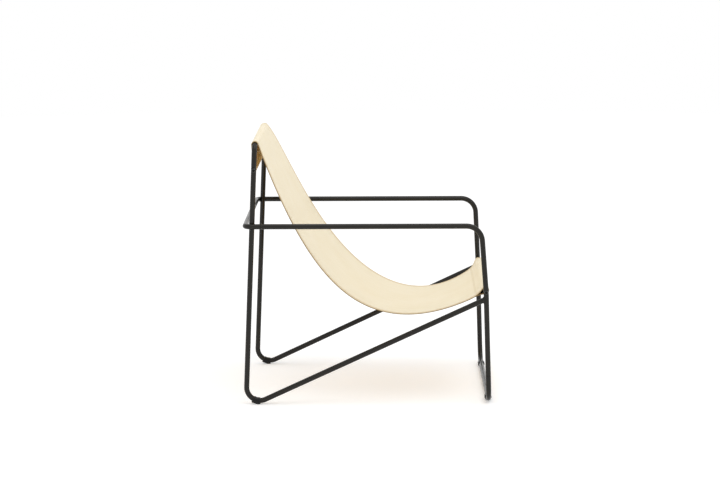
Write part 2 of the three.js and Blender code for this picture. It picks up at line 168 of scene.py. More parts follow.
class GroupMaker:
    """Builds the shared node groups."""

    def __init__(self, title: str) -> None:
        """Opens an empty group of the given title."""
        self.tree = bpy.data.node_groups.new(title, "ShaderNodeTree")
        self.bench = NodeBench(self.tree)

    def sockets(self, inputs: dict[str, object],
                outputs: dict[str, str]) -> tuple[bpy.types.NodeOutputs, bpy.types.NodeInputs]:
        """Gives the group its named inputs and outputs.

        Args:
            inputs: Default value of each input; None makes a vector input.
            outputs: Socket type of each output, as Float or Color.

        Returns:
            The input node's outputs and the output node's inputs.
        """
        kinds = {float: "Float", tuple: "Color", type(None): "Vector"}
        for name, value in inputs.items():
            kind = f"NodeSocket{kinds[type(value)]}"
            socket = self.tree.interface.new_socket(name=name, in_out="INPUT", socket_type=kind)
            if value is not None:
                socket.default_value = value
        for name, kind in outputs.items():
            self.tree.interface.new_socket(name=name, in_out="OUTPUT", socket_type=f"NodeSocket{kind}")
        source = self.bench.place("NodeGroupInput")
        sink = self.bench.place("NodeGroupOutput")
        return source.outputs, sink.inputs

    def close(self, put: bpy.types.NodeInputs,
              results: dict[str, bpy.types.NodeSocket]) -> bpy.types.NodeTree:
        """Joins the results to the group's outputs.

        Args:
            put: Inputs of the group's output node.
            results: Socket for each output.

        Returns:
            The group's tree.
        """
        for name, socket in results.items():
            self.tree.links.new(socket, put[name])
        return self.tree

    def coat_skin(self) -> bpy.types.NodeTree:
        """Fine peel of a sprayed or moulded skin, with patches of slightly different tone.

        Returns:
            The group's tree.
        """
        inputs = {"Vector": None, "Peel Scale": 900.0, "Patch Scale": 14.0,
                  "Pale": (1.0, 1.0, 1.0, 1.0), "Deep": (0.5, 0.5, 0.5, 1.0)}
        given, put = self.sockets(inputs, {"Colour": "Color", "Height": "Float", "Patch": "Float"})
        patch = self.bench.noise(given["Vector"], given["Patch Scale"], detail=4.0)
        peel = self.bench.noise(given["Vector"], given["Peel Scale"], detail=2.0)
        spread = self.bench.step(patch, low=0.3, high=0.7)
        fleck = self.bench.step(peel, low=0.35, high=0.75, start=-0.12, end=0.12)
        colour = self.bench.mix(self.bench.calc("ADD", spread, fleck), given["Deep"], given["Pale"])
        return self.close(put, {"Colour": colour, "Height": peel, "Patch": spread})

    def hide_grain(self) -> bpy.types.NodeTree:
        """Pebbled hide grain with hair pores, as a height and a mask of its valleys.

        Returns:
            The group's tree.
        """
        inputs = {"Vector": None, "Pebble Scale": 620.0, "Pore Scale": 2600.0}
        given, put = self.sockets(inputs, {"Height": "Float", "Valley": "Float"})
        drift_scale, drift_reach, pore_share = 160.0, 0.0022, 0.45
        drift = self.bench.place(
            "ShaderNodeTexNoise", {"Vector": given["Vector"], "Scale": drift_scale, "Detail": 2.0},
        )
        shift = self.bench.stretch(drift.outputs["Color"], (drift_reach, drift_reach, 0.0))
        place = self.bench.place("ShaderNodeVectorMath", {0: given["Vector"], 1: shift}, operation="ADD")
        cells = self.bench.place(
            "ShaderNodeTexVoronoi",
            {"Vector": place.outputs["Vector"], "Scale": given["Pebble Scale"]},
            feature="DISTANCE_TO_EDGE",
        )
        dome = self.bench.step(cells.outputs["Distance"], low=0.0, high=0.3)
        pores = self.bench.noise(given["Vector"], given["Pore Scale"], detail=3.0)
        height = self.bench.calc("ADD", dome, self.bench.calc("MULTIPLY", pores, pore_share))
        return self.close(put, {"Height": height, "Valley": self.bench.calc("SUBTRACT", 1.0, dome)})

    def hide_tone(self) -> bpy.types.NodeTree:
        """Colour of a hide: broad patches and long streaks from its growth.

        Returns:
            The group's tree.
        """
        inputs = {"Vector": None, "Patch Scale": 9.0, "Streak Scale": 60.0,
                  "Pale": (0.9, 0.8, 0.6, 1.0), "Deep": (0.8, 0.7, 0.5, 1.0)}
        given, put = self.sockets(inputs, {"Colour": "Color"})
        patch_share, streak_share, streak_draw = 0.65, 0.35, 0.07
        patch = self.bench.noise(given["Vector"], given["Patch Scale"], detail=5.0)
        patch = self.bench.step(patch, low=0.28, high=0.72, end=patch_share)
        along = self.bench.stretch(given["Vector"], (1.0, streak_draw, 1.0))
        streak = self.bench.noise(along, given["Streak Scale"], detail=4.0)
        streak = self.bench.step(streak, low=0.3, high=0.72, end=streak_share)
        blend = self.bench.calc("ADD", patch, streak)
        return self.close(put, {"Colour": self.bench.mix(blend, given["Pale"], given["Deep"])})

    def side_band(self) -> bpy.types.NodeTree:
        """Masks along the two long sides of the sheet: a band drawn darker and the creased line.

        Returns:
            The group's tree.
        """
        inputs = {"Vector": None, "Half Width": 0.28, "Band": 0.004, "Line Inset": 0.01,
                  "Line Width": 0.0018}
        given, put = self.sockets(inputs, {"Band": "Float", "Line": "Float"})
        wander_scale, least_reach, full_share = 130.0, 0.5, 0.3
        across = self.bench.place("ShaderNodeSeparateXYZ", {0: given["Vector"]}).outputs["X"]
        inset = self.bench.calc("SUBTRACT", given["Half Width"], self.bench.calc("ABSOLUTE", across))
        wander = self.bench.noise(given["Vector"], wander_scale, detail=3.0)
        reach = self.bench.calc("MULTIPLY", given["Band"], self.bench.calc("ADD", wander, least_reach))
        full = self.bench.calc("MULTIPLY", reach, full_share)
        band = self.bench.calc("SUBTRACT", 1.0, self.bench.step(inset, full, reach))
        away = self.bench.calc("ABSOLUTE", self.bench.calc("SUBTRACT", inset, given["Line Inset"]))
        line = self.bench.calc("SUBTRACT", 1.0, self.bench.step(away, 0.0, given["Line Width"]))
        return self.close(put, {"Band": band, "Line": line})


Colour = tuple[float, float, float, float]
WHITE: Colour = (1.0, 1.0, 1.0, 1.0)


@dataclass(frozen=True)
class Finish:
    """Base of every finish: a titled material, built once."""

    title: str = "finish"

    def material(self) -> bpy.types.Material:
        """Builds the material of this finish at its first use.

        Returns:
            The material.
        """
        made = bpy.data.materials.get(self.title)
        if made:
            return made
        made = bpy.data.materials.new(self.title)
        made.use_nodes = True
        made.node_tree.nodes.clear()
        bench = NodeBench(made.node_tree)
        shader = bench.place("ShaderNodeBsdfPrincipled")
        bench.place("ShaderNodeOutputMaterial", {"Surface": shader.outputs["BSDF"]})
        self.draw(bench, shader)
        return made

    def draw(self, bench: NodeBench, shader: bpy.types.Node) -> None:
        """Adds the nodes that a finish has of its own."""
        raise NotImplementedError

    def group(self, bench: NodeBench, effect: EffectGroup,
              inputs: dict[str, object]) -> bpy.types.NodeOutputs:
        """Places a shared effect and gives its outputs."""
        return bench.place("ShaderNodeGroup", inputs, node_tree=effect.tree()).outputs

    def raise_skin(self, bench: NodeBench, shader: bpy.types.Node, height: object, depth: float) -> None:
        """Feeds a height into the shader's normal.

        Args:
            bench: Bench of the material.
            shader: Principled shader.
            height: Height socket.
            depth: Depth of the relief in metres.
        """
        bump = bench.place("ShaderNodeBump", {"Height": height, "Distance": depth, "Strength": 1.0})
        bench.tree.links.new(bump.outputs["Normal"], shader.inputs["Normal"])


@dataclass(frozen=True)
class SkinFinish(Finish):
    """A finish with a fine even skin: powder coat, black oxide, moulded plastic or drawn steel."""

    pale: Colour = (0.02, 0.02, 0.02, 1.0)
    deep: Colour = (0.01, 0.01, 0.01, 1.0)
    peel_scale: float = 900.0
    patch_scale: float = 14.0
    peel_depth: float = 0.00004
    smooth: float = 0.35
    rough: float = 0.45
    metallic: float = 0.0
    specular: float = 0.5

    def draw(self, bench: NodeBench, shader: bpy.types.Node) -> None:
        """Draws the skin from the piece's own coordinates.

        Args:
            bench: Bench of the material.
            shader: Principled shader.
        """
        place = bench.place("ShaderNodeTexCoord").outputs["Object"]
        skin = self.group(bench, EffectGroup.COAT_SKIN, {
            "Vector": place, "Peel Scale": self.peel_scale, "Patch Scale": self.patch_scale,
            "Pale": self.pale, "Deep": self.deep,
        })
        bench.tree.links.new(skin["Colour"], shader.inputs["Base Color"])
        gloss = bench.step(skin["Patch"], 0.0, 1.0, self.smooth, self.rough)
        bench.tree.links.new(gloss, shader.inputs["Roughness"])
        shader.inputs["Metallic"].default_value = self.metallic
        shader.inputs["Specular IOR Level"].default_value = self.specular
        self.raise_skin(bench, shader, skin["Height"], self.peel_depth)


@dataclass(frozen=True)
class HideFinish(Finish):
    """A face of the leather sheet, drawn in the sheet's own flat coordinates."""

    pale: Colour = (0.9, 0.8, 0.6, 1.0)
    deep: Colour = (0.82, 0.72, 0.52, 1.0)
    # Darker colour that the band along each long side, the creased line and the grain's valleys are mixed
    # towards.
    dark_tone: Colour = (0.45, 0.28, 0.1, 1.0)
    band_share: float = 0.6
    line_share: float = 0.25
    valley_share: float = 0.12
    half_width: float = 0.2752
    band: float = 0.004
    pebble_scale: float = 620.0
    pore_scale: float = 2600.0
    grain_depth: float = 0.00016
    smooth: float = 0.5
    rough: float = 0.68
    specular: float = 0.35
    sheen: float = 0.0
    sheen_rough: float = 0.5

    def draw(self, bench: NodeBench, shader: bpy.types.Node) -> None:
        """Draws the hide's tone, its grain and a band drawn darker along each long side.

        Args:
            bench: Bench of the material.
            shader: Principled shader.
        """
        place = bench.place("ShaderNodeUVMap", uv_map=SHEET_MAP).outputs["UV"]
        tone = self.group(bench, EffectGroup.HIDE_TONE, {
            "Vector": place, "Pale": self.pale, "Deep": self.deep,
        })
        grain = self.group(bench, EffectGroup.HIDE_GRAIN, {
            "Vector": place, "Pebble Scale": self.pebble_scale, "Pore Scale": self.pore_scale,
        })
        sides = self.group(bench, EffectGroup.SIDE_BAND, {
            "Vector": place, "Half Width": self.half_width, "Band": self.band,
        })
        # Share of the darker colour: a band along each long side, the creased line, and the grain's
        # valleys.
        pulled = bench.calc("MULTIPLY", sides["Band"], self.band_share)
        pulled = bench.calc("ADD", pulled, bench.calc("MULTIPLY", sides["Line"], self.line_share))
        pulled = bench.calc("ADD", pulled, bench.calc("MULTIPLY", grain["Valley"], self.valley_share))
        colour = bench.mix(pulled, tone["Colour"], self.dark_tone)
        bench.tree.links.new(colour, shader.inputs["Base Color"])
        gloss = bench.step(grain["Valley"], 0.0, 1.0, self.smooth, self.rough)
        bench.tree.links.new(gloss, shader.inputs["Roughness"])
        shader.inputs["Specular IOR Level"].default_value = self.specular
        shader.inputs["Sheen Weight"].default_value = self.sheen
        shader.inputs["Sheen Roughness"].default_value = self.sheen_rough
        self.raise_skin(bench, shader, grain["Height"], self.grain_depth)


POWDER_COAT = SkinFinish(
    title="black_powder_coat", pale=(0.0115, 0.0097, 0.006, 1.0), deep=(0.0065, 0.0054, 0.0032, 1.0),
    peel_scale=1100.0, patch_scale=16.0, peel_depth=0.000003, smooth=0.2, rough=0.27, specular=0.31,
)
BLACK_OXIDE = SkinFinish(
    title="black_oxide_steel", pale=(0.022, 0.021, 0.02, 1.0), deep=(0.012, 0.012, 0.011, 1.0),
    peel_scale=1600.0, patch_scale=120.0, peel_depth=0.00001, smooth=0.3, rough=0.45,
    metallic=0.85, specular=0.4,
)
GREY_PHOSPHATE = SkinFinish(
    title="grey_phosphate_steel", pale=(0.3, 0.3, 0.29, 1.0), deep=(0.22, 0.22, 0.21, 1.0),
    peel_scale=1800.0, patch_scale=150.0, peel_depth=0.00001, smooth=0.35, rough=0.5, metallic=0.9,
)
DRAWN_STEEL = SkinFinish(
    title="drawn_steel", pale=(0.45, 0.45, 0.44, 1.0), deep=(0.34, 0.34, 0.33, 1.0),
    peel_scale=1500.0, patch_scale=60.0, peel_depth=0.00003, smooth=0.28, rough=0.42, metallic=1.0,
)
GLIDE_PLASTIC = SkinFinish(
    title="moulded_black_plastic", pale=(0.007, 0.007, 0.0066, 1.0), deep=(0.004, 0.004, 0.0037, 1.0),
    peel_scale=1400.0, patch_scale=90.0, peel_depth=0.00001, smooth=0.3, rough=0.38, specular=0.22,
)
# Each of the three leather finishes below is drawn darker in a band along the sheet's long sides.
GRAIN_LEATHER = HideFinish(
    title="natural_grain_leather", pale=(0.915, 0.82, 0.618, 1.0), deep=(0.885, 0.78, 0.558, 1.0),
    dark_tone=(0.66, 0.5, 0.27, 1.0), band_share=0.7, line_share=0.3, valley_share=0.06, band=0.03,
    smooth=0.46, rough=0.6, specular=0.35, sheen=0.08,
)
FLESH_LEATHER = HideFinish(
    title="napped_flesh_leather", pale=(0.88, 0.56, 0.14, 1.0), deep=(0.8, 0.48, 0.105, 1.0),
    dark_tone=(0.46, 0.28, 0.09, 1.0), band_share=0.5, line_share=0.0, valley_share=0.18,
    pebble_scale=1500.0, pore_scale=3800.0, grain_depth=0.00025, smooth=0.85, rough=0.95,
    specular=0.15, sheen=0.25,
)
CUT_EDGE = HideFinish(
    title="burnished_cut_edge", pale=(0.43, 0.31, 0.15, 1.0), deep=(0.33, 0.23, 0.1, 1.0),
    dark_tone=(0.27, 0.17, 0.065, 1.0), band_share=0.3, line_share=0.0, valley_share=0.25,
    pebble_scale=1800.0, pore_scale=4200.0, grain_depth=0.0001, smooth=0.42, rough=0.6, specular=0.4,
)
WAXED_THREAD = SkinFinish(
    title="waxed_linen_thread", pale=(0.8, 0.7, 0.5, 1.0), deep=(0.62, 0.5, 0.31, 1.0),
    peel_scale=3200.0, patch_scale=900.0, peel_depth=0.00012, smooth=0.5, rough=0.7, specular=0.3,
)


@dataclass
class Station:
    """A place on a path, with the path's direction there."""

    point: Vector
    tangent: Vector


def bent_path(corners: Sequence[Vector], radii: Sequence[float]) -> list[Station]:
    """Joins straight runs by round bends.

    Args:
        corners: Ends of the path, and the points where its straight runs would meet.
        radii: Centre-line radius of each bend.

    Returns:
        Stations at both ends and along each bend, BEND_STEP degrees apart there or closer.
    """
    stations = [Station(corners[0].copy(), (corners[1] - corners[0]).normalized())]
    for before, corner, after, radius in zip(corners, corners[1:], corners[2:], radii):
        inward = (corner - before).normalized()
        outward = (after - corner).normalized()
        turn = inward.angle(outward)
        start = corner - inward * (radius * math.tan(turn / 2))
        side = (outward - inward * outward.dot(inward)).normalized()
        count = math.ceil(math.degrees(turn) / BEND_STEP)
        for i in range(count + 1):
            angle = turn * i / count
            point = start + inward * (radius * math.sin(angle)) + side * (radius * (1 - math.cos(angle)))
            stations.append(Station(point, inward * math.cos(angle) + side * math.sin(angle)))
    stations.append(Station(corners[-1].copy(), (corners[-1] - corners[-2]).normalized()))
    return stations


class Shape:
    """Gathers rings of points and skins them into one mesh."""

    def __init__(self) -> None:
        """Starts with no points and no faces."""
        self.points: list[Vector] = []
        self.faces: list[tuple[int, ...]] = []
        self.marks: list[int] = []

    def ring(self, points: Sequence[Vector]) -> list[int]:
        """Adds a ring of points.

        Args:
            points: Points in order round the ring.

        Returns:
            The points' numbers in the mesh.
        """
        start = len(self.points)
        self.points.extend(points)
        return list(range(start, len(self.points)))

    def face(self, corners: Sequence[int], mark: int = 0, flip: bool = False) -> None:
        """Adds one face with the number of its finish, turned over if asked."""
        self.faces.append(tuple(reversed(corners)) if flip else tuple(corners))
        self.marks.append(mark)

    def skin(self, rings: Sequence[Sequence[int]], marks: Sequence[int] = ()) -> None:
        """Joins each closed ring to the next one by a band of faces.

        Args:
            rings: Rings of equal length.
            marks: Finish of each column of faces; without it all have the first one.
        """
        count = len(rings[0])
        columns = marks or [0] * count
        for first, second in zip(rings, rings[1:]):
            for i, mark in enumerate(columns):
                k = (i + 1) % count
                self.face((first[i], first[k], second[k], second[i]), mark)

    def cap(self, ring: Sequence[int], centre: Vector) -> None:
        """Closes a ring by a fan of faces to a centre point.

        Args:
            ring: Numbers of the ring's points.
            centre: The centre point.
        """
        middle = self.ring([centre])[0]
        for i, corner in enumerate(ring):
            self.face((corner, ring[(i + 1) % len(ring)], middle))

    def turn_out(self) -> None:
        """Turns every face over when the closed mesh is inside out."""
        volume = 0.0
        for face in self.faces:
            a = self.points[face[0]]
            for i in range(1, len(face) - 1):
                volume += a.dot(self.points[face[i]].cross(self.points[face[i + 1]]))
        if volume < 0:
            self.faces = [tuple(reversed(face)) for face in self.faces]

    def piece(self, name: str, finishes: Sequence[Finish], sharp: float = 40.0) -> bpy.types.Object:
        """Makes the object and links it to the scene.

        Args:
            name: Object's name.
            finishes: Finishes, in the order of the faces' marks.
            sharp: Angle in degrees above which an edge shows as sharp.

        Returns:
            The new object.
        """
        self.turn_out()
        mesh = bpy.data.meshes.new(name)
        mesh.from_pydata([tuple(point) for point in self.points], [], self.faces)
        mesh.polygons.foreach_set("material_index", self.marks)
        for finish in finishes:
            mesh.materials.append(finish.material())
        mesh.shade_smooth()
        mesh.set_sharp_from_angle(angle=math.radians(sharp))
        mesh.update()
        made = bpy.data.objects.new(name, mesh)
        bpy.context.scene.collection.objects.link(made)
        return made


def circle(centre: Vector, side: Vector, up: Vector, radius: float, count: int) -> list[Vector]:
    """Points of a circle.

    Args:
        centre: Centre of the circle.
        side: First axis in its plane.
        up: Second axis in its plane.
        radius: Its radius.
        count: How many points.

    Returns:
        The points in order round the circle.
    """
    angles = [2 * math.pi * i / count for i in range(count)]
    return [centre + side * (radius * math.cos(a)) + up * (radius * math.sin(a)) for a in angles]


def ease(share: float | np.ndarray) -> float | np.ndarray:
    """Smooth rise from 0 to 1 of a share that rises evenly."""
    return share * share * (3 - 2 * share)


@dataclass(frozen=True)
class FrameSizes:
    """Sizes of the bent tube frame in metres and degrees, to tube axes, and the row's shift along X."""

    shift: float = 0.0
    width: float = 0.631
    tube: float = 0.016
    wall: float = 0.0015
    gap: float = 0.0003
    top_rail_height: float = 0.7885
    sling_rail_drop: float = 0.0745
    arm_height: float = 0.546
    seat_rail_height: float = 0.345
    brace_drop: float = 0.0202
    rear_foot_x: float = -0.372
    rear_lean: float = 2.54
    front_foot_x: float = 0.3643
    front_lean: float = -1.64
    front_upper_lean: float = -3.7
    top_bend: float = 0.024
    rear_foot_bend: float = 0.040
    arm_bend: float = 0.048
    knee_bend: float = 0.4
    floor_bar_bend: float = 0.048
    rear_bar_gap: float = 0.004
    joint_stub: float = 0.030
    back_joint_rise: float = 0.008
    glide_sole: float = 0.0025
    back_rod: float = 0.010
    right_arm_set: float = -0.0022
    left_arm_set: float = 0.0037

    @classmethod
    def from_rail(cls, node: str) -> "FrameSizes":
        """Finds the row's shift from where the seat rail's CAD node is.

        Args:
            node: Name of that node.

        Returns:
            The sizes with that shift.
        """
        low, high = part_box(node)
        plain = cls()
        return cls(shift=(low[0] + high[0]) / 2 - plain.front_leg(plain.seat_rail_height))

    def rear_leg(self, z: float) -> float:
        """X of the rear leg's axis at a height."""
        return self.shift + self.rear_foot_x + z * math.tan(math.radians(self.rear_lean))

    def front_leg(self, z: float) -> float:
        """Follows the front leg's axis, with its knee at the seat rail.

        Args:
            z: Height over the floor.

        Returns:
            X of the axis at that height.
        """
        above = max(z - self.seat_rail_height, 0.0)
        lower = (z - above) * math.tan(math.radians(self.front_lean))
        upper = above * math.tan(math.radians(self.front_upper_lean))
        return self.shift + self.front_foot_x + lower + upper

    @property
    def radius(self) -> float:
        """Outer radius of the tube."""
        return self.tube / 2

    @property
    def bore(self) -> float:
        """Inner radius of the tube."""
        return self.radius - self.wall

    @property
    def foot_height(self) -> float:
        """Height of a tube's axis over a floor glide."""
        return self.glide_sole + self.gap + self.radius

    @property
    def arm_y(self) -> float:
        """Y of the armrest and front leg axes."""
        return self.width / 2 - self.radius

    @property
    def rear_leg_y(self) -> float:
        """Y of the rear leg axes."""
        return self.arm_y - self.tube - self.gap

    @property
    def corner_bend(self) -> float:
        """Centre-line radius of the rear arm bar's corners."""
        return self.tube + self.rear_bar_gap

    @property
    def rear_bar_x(self) -> float:
        """X of the rear arm bar's axis."""
        return self.rear_leg(self.arm_height) - self.corner_bend

    @property
    def sling_rail_height(self) -> float:
        """Height of the back sling rail's axis."""
        return self.top_rail_height - self.sling_rail_drop

    @property
    def brace_height(self) -> float:
        """Height at which the brace meets the front leg."""
        return self.seat_rail_height - self.brace_drop

    @property
    def back_joint_height(self) -> float:
        """Height of the joint below the top rail's bends."""
        return self.sling_rail_height + self.back_joint_rise

    @property
    def floor_joint_height(self) -> float:
        """Height of the joint above the floor bar's bends."""
        return self.foot_height + self.floor_bar_bend + self.joint_stub

    @property
    def rear_up(self) -> Vector:
        """Direction up the rear leg, in X and Z."""
        lean = math.radians(self.rear_lean)
        return Vector((math.sin(lean), math.cos(lean)))

    def rear_foot_centre(self) -> Vector:
        """Finds the centre of the rear foot's bend.

        Returns:
            The centre, in X and Z.
        """
        up = self.rear_up
        forward = Vector((up.y, -up.x))
        along = (self.foot_height + self.rear_foot_bend - self.rear_foot_bend * forward.y) / up.y
        return Vector((self.shift + self.rear_foot_x, 0.0)) + up * along + forward * self.rear_foot_bend

    def rear_foot_corner(self) -> Vector:
        """Finds where the rear leg's and the brace's axes would meet.

        Returns:
            The point, in X and Z.
        """
        up = self.rear_up
        joint = Vector((self.front_leg(self.brace_height), self.brace_height))
        back = self.rear_foot_centre() - joint
        slope = math.atan2(back.y, back.x) + math.asin(self.rear_foot_bend / back.length)
        brace = Vector((math.cos(slope), math.sin(slope)))
        offset = Vector((self.shift + self.rear_foot_x, 0.0)) - joint
        reach = (offset.x * up.y - offset.y * up.x) / (brace.x * up.y - brace.y * up.x)
        return joint + brace * reach

    def arm_path(self, side: Side) -> list[Station]:
        """Axis of one armrest and front leg.

        Args:
            side: Side of the chair.

        Returns:
            Stations from the rear joint to the floor joint.
        """
        y = side.value * self.arm_y
        foot = self.floor_joint_height + self.gap
        corner_set = self.left_arm_set if side is Side.LEFT else self.right_arm_set
        corners = [
            Vector((self.rear_bar_x + self.corner_bend + self.joint_stub + self.gap, y, self.arm_height)),
            Vector((self.front_leg(self.arm_height) + corner_set, y, self.arm_height)),
            Vector((self.front_leg(self.seat_rail_height), y, self.seat_rail_height)),
            Vector((self.front_leg(foot), y, foot)),
        ]
        return bent_path(corners, [self.arm_bend, self.knee_bend])

    def rear_leg_path(self, side: Side) -> list[Station]:
        """Axis of one rear leg, its rounded foot and its brace.

        Args:
            side: Side of the chair.

        Returns:
            Stations from the back's joint to the front leg.
        """
        corner = self.rear_foot_corner()
        y = side.value * self.rear_leg_y
        return bent_path([
            Vector((self.rear_leg(self.back_joint_height), y, self.back_joint_height)),
            Vector((corner.x, y, corner.y)),
            Vector((self.front_leg(self.brace_height), side.value * self.arm_y, self.brace_height)),
        ], [self.rear_foot_bend])

    def top_rail_path(self) -> list[Station]:
        """Axis of the back's top rail.

        Returns:
            Stations from the left joint to the right one.
        """
        foot = self.back_joint_height + self.gap
        y = self.rear_leg_y
        return bent_path([
            Vector((self.rear_leg(foot), y, foot)),
            Vector((self.rear_leg(self.top_rail_height), y, self.top_rail_height)),
            Vector((self.rear_leg(self.top_rail_height), -y, self.top_rail_height)),
            Vector((self.rear_leg(foot), -y, foot)),
        ], [self.top_bend, self.top_bend])

    def rear_bar_path(self) -> list[Station]:
        """Axis of the bar that joins the armrests behind the back.

        Returns:
            Stations from the left joint to the right one.
        """
        start = self.rear_bar_x + self.corner_bend + self.joint_stub
        y, z = self.arm_y, self.arm_height
        return bent_path([
            Vector((start, y, z)), Vector((self.rear_bar_x, y, z)),
            Vector((self.rear_bar_x, -y, z)), Vector((start, -y, z)),
        ], [self.corner_bend, self.corner_bend])

    def floor_bar_path(self) -> list[Station]:
        """Axis of the bar that joins the front legs on the floor.

        Returns:
            Stations from the left joint to the right one.
        """
        top, low, y = self.floor_joint_height, self.foot_height, self.arm_y
        return bent_path([
            Vector((self.front_leg(top), y, top)), Vector((self.front_leg(low), y, low)),
            Vector((self.front_leg(low), -y, low)), Vector((self.front_leg(top), -y, top)),
        ], [self.floor_bar_bend, self.floor_bar_bend])


class Assembly:
    """Base of the sub-assemblies, whose pieces all ride on the chair's one body."""

    def fit(self, piece: bpy.types.Object, slot: Slot, *nodes: str) -> bpy.types.Object:
        """Makes a piece ride on the chair in place of CAD nodes.

        Args:
            piece: The new piece.
            slot: Record slot of the piece's finish; not used.
            nodes: CAD nodes that the piece stands for.

        Returns:
            The same piece.
        """
        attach(piece, BODY)
        if nodes:
            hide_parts(*nodes)
        LOG.info("piece %s for %s", piece.name, ", ".join(nodes) or "no node")
        return piece

    def refinish(self, node: str, finish: Finish) -> None:
        """Gives a CAD node that stays its finish.

        Args:
            node: Name of the node.
            finish: Its finish.
        """
        mesh = bpy.data.objects[node].data
        mesh.materials.clear()
        mesh.materials.append(finish.material())
        LOG.info("finish %s on %s", finish.title, node)


@dataclass
class TubeFrame(Assembly):
    """Bent tubes of the frame, their welds, and the steel spigots in their joints."""

    sizes: FrameSizes
    sides: int = 40
    end_chamfer: float = 0.0005
    back_joint_chamfer: float = 0.0009
    bead: float = 0.0016
    bead_sides: int = 10
    bead_swell: float = 0.16
    bead_sharp: float = 70.0
    ripples: int = 17
    brace_weld_steps: int = 96
    arm_weld_steps: int = 72
    arm_weld_spread: float = 0.0052

    def tube(self, name: str, path: list[Station], leg: Station | None = None,
             back_joint: bool = False) -> None:
        """Builds one hollow tube with chamfered ends.

        Args:
            name: Name of the CAD node that the tube stands for.
            path: Axis of the tube.
            leg: A place on the leg that the tube's far end is coped to, if it is.
            back_joint: Whether its plain ends have the wider chamfer of the back's joints.
        """
        first, *bends, last = self.carry(path)
        radius, bore = self.sizes.radius, self.sizes.bore
        wide = self.back_joint_chamfer if back_joint else self.end_chamfer
        cut = wide if leg is None else self.end_chamfer
        plan = [(first, bore, 0.0), (first, radius - wide, 0.0), (first, radius, wide)]
        plan += [(spot, radius, 0.0) for spot in bends]
        plan += [(last, radius, -cut), (last, radius - cut, 0.0), (last, bore, 0.0)]
        plan += [(spot, bore, 0.0) for spot in reversed(bends)]
        shape = Shape()
        rings = []
        for spot, size, along in plan:
            station, side = spot
            centre = station.point + station.tangent * along
            points = circle(centre, side, station.tangent.cross(side), size, self.sides)
            if leg is not None and spot is last:
                points = [self.cope(point, station.tangent, leg) for point in points]
            rings.append(shape.ring(points))
        shape.skin(rings + rings[:1])
        self.fit(shape.piece(f"{name}_tube", [POWDER_COAT]), Slot.COAT, name)

    def carry(self, path: list[Station]) -> list[tuple[Station, Vector]]:
        """Carries a side direction along a path without twisting it.

        Args:
            path: Axis of a tube.

        Returns:
            Each station with its side direction.
        """
        aim = path[0].tangent
        lies_across = abs(aim.y) > abs(aim.z) and abs(aim.y) > abs(aim.x)
        side = aim.cross(AXIS_Z if lies_across else AXIS_Y).normalized()
        carried = []
        for station in path:
            side = (side - station.tangent * side.dot(station.tangent)).normalized()
            carried.append((station, side))
        return carried

    def cope(self, point: Vector, along: Vector, leg: Station) -> Vector:
        """Slides a point along a tube until it meets the skin of the leg.

        Args:
            point: Point near the tube's end.
            along: Direction of the tube.
            leg: A place on the leg's axis.

        Returns:
            The point on the leg's skin, short of it by the fit's gap.
        """
        offset = point - leg.point
        across = along - leg.tangent * along.dot(leg.tangent)
        away = offset - leg.tangent * offset.dot(leg.tangent)
        a, b = across.length_squared, 2 * across.dot(away)
        c = away.length_squared - (self.sizes.radius + self.sizes.gap) ** 2
        return point + along * ((-b - math.sqrt(max(b * b - 4 * a * c, 0.0))) / (2 * a))

    def weld(self, name: str, line: Sequence[Vector], outward: Sequence[Vector]) -> None:
        """Builds a rippled weld bead along a closed line.

        Args:
            name: Name of the piece.
            line: Points of the line.
            outward: Direction away from the seam at each point.
        """
        shape = Shape()
        count = len(line)
        rings = []
        for i, point in enumerate(line):
            tangent = (line[(i + 1) % count] - line[i - 1]).normalized()
            side = (outward[i] - tangent * outward[i].dot(tangent)).normalized()
            swell = 1 + self.bead_swell * math.sin(self.ripples * math.pi * i / count) ** 2
            points = circle(point, side, tangent.cross(side), self.bead * swell, self.bead_sides)
            rings.append(shape.ring(points))
        shape.skin(rings + rings[:1])
        self.fit(shape.piece(name, [POWDER_COAT], self.bead_sharp), Slot.COAT)

    def brace_weld(self, side: Side) -> None:
        """Welds the brace's coped end to the front leg.

        Args:
            side: Side of the chair.
        """
        end, leg = self.sizes.rear_leg_path(side)[-1], self.front_leg_station(side)
        across = end.tangent.cross(AXIS_Y).normalized()
        up = end.tangent.cross(across)
        ring = circle(end.point, across, up, self.sizes.radius, self.brace_weld_steps)
        line = [self.cope(point, end.tangent, leg) for point in ring]
        outward = [point - end.point for point in ring]
        self.weld(f"brace_weld_{side.label}", line, outward)

    def arm_weld(self, side: Side) -> None:
        """Welds the rear leg to the armrest where the two tubes cross.

        Args:
            side: Side of the chair.
        """
        sizes = self.sizes
        middle = Vector((sizes.rear_leg(sizes.arm_height), 0.0, sizes.arm_height))
        line, outward = [], []
        for i in range(self.arm_weld_steps):
            angle = 2 * math.pi * i / self.arm_weld_steps
            dx, dz = self.arm_weld_spread * math.cos(angle), self.arm_weld_spread * math.sin(angle)
            leg = sizes.rear_leg_y + math.sqrt(sizes.radius ** 2 - dx * dx)
            arm = sizes.arm_y - math.sqrt(sizes.radius ** 2 - dz * dz)
            line.append(middle + Vector((dx, side.value * (leg + arm) / 2, dz)))
            outward.append(Vector((dx, 0.0, dz)))
        self.weld(f"arm_weld_{side.label}", line, outward)

    def front_leg_station(self, side: Side) -> Station:
        """Finds where the brace meets the front leg's axis.

        Args:
            side: Side of the chair.

        Returns:
            The place on the axis.
        """
        leg = self.sizes.arm_path(side)[-1]
        z = self.sizes.brace_height
        return Station(Vector((self.sizes.front_leg(z), leg.point.y, z)), leg.tangent)

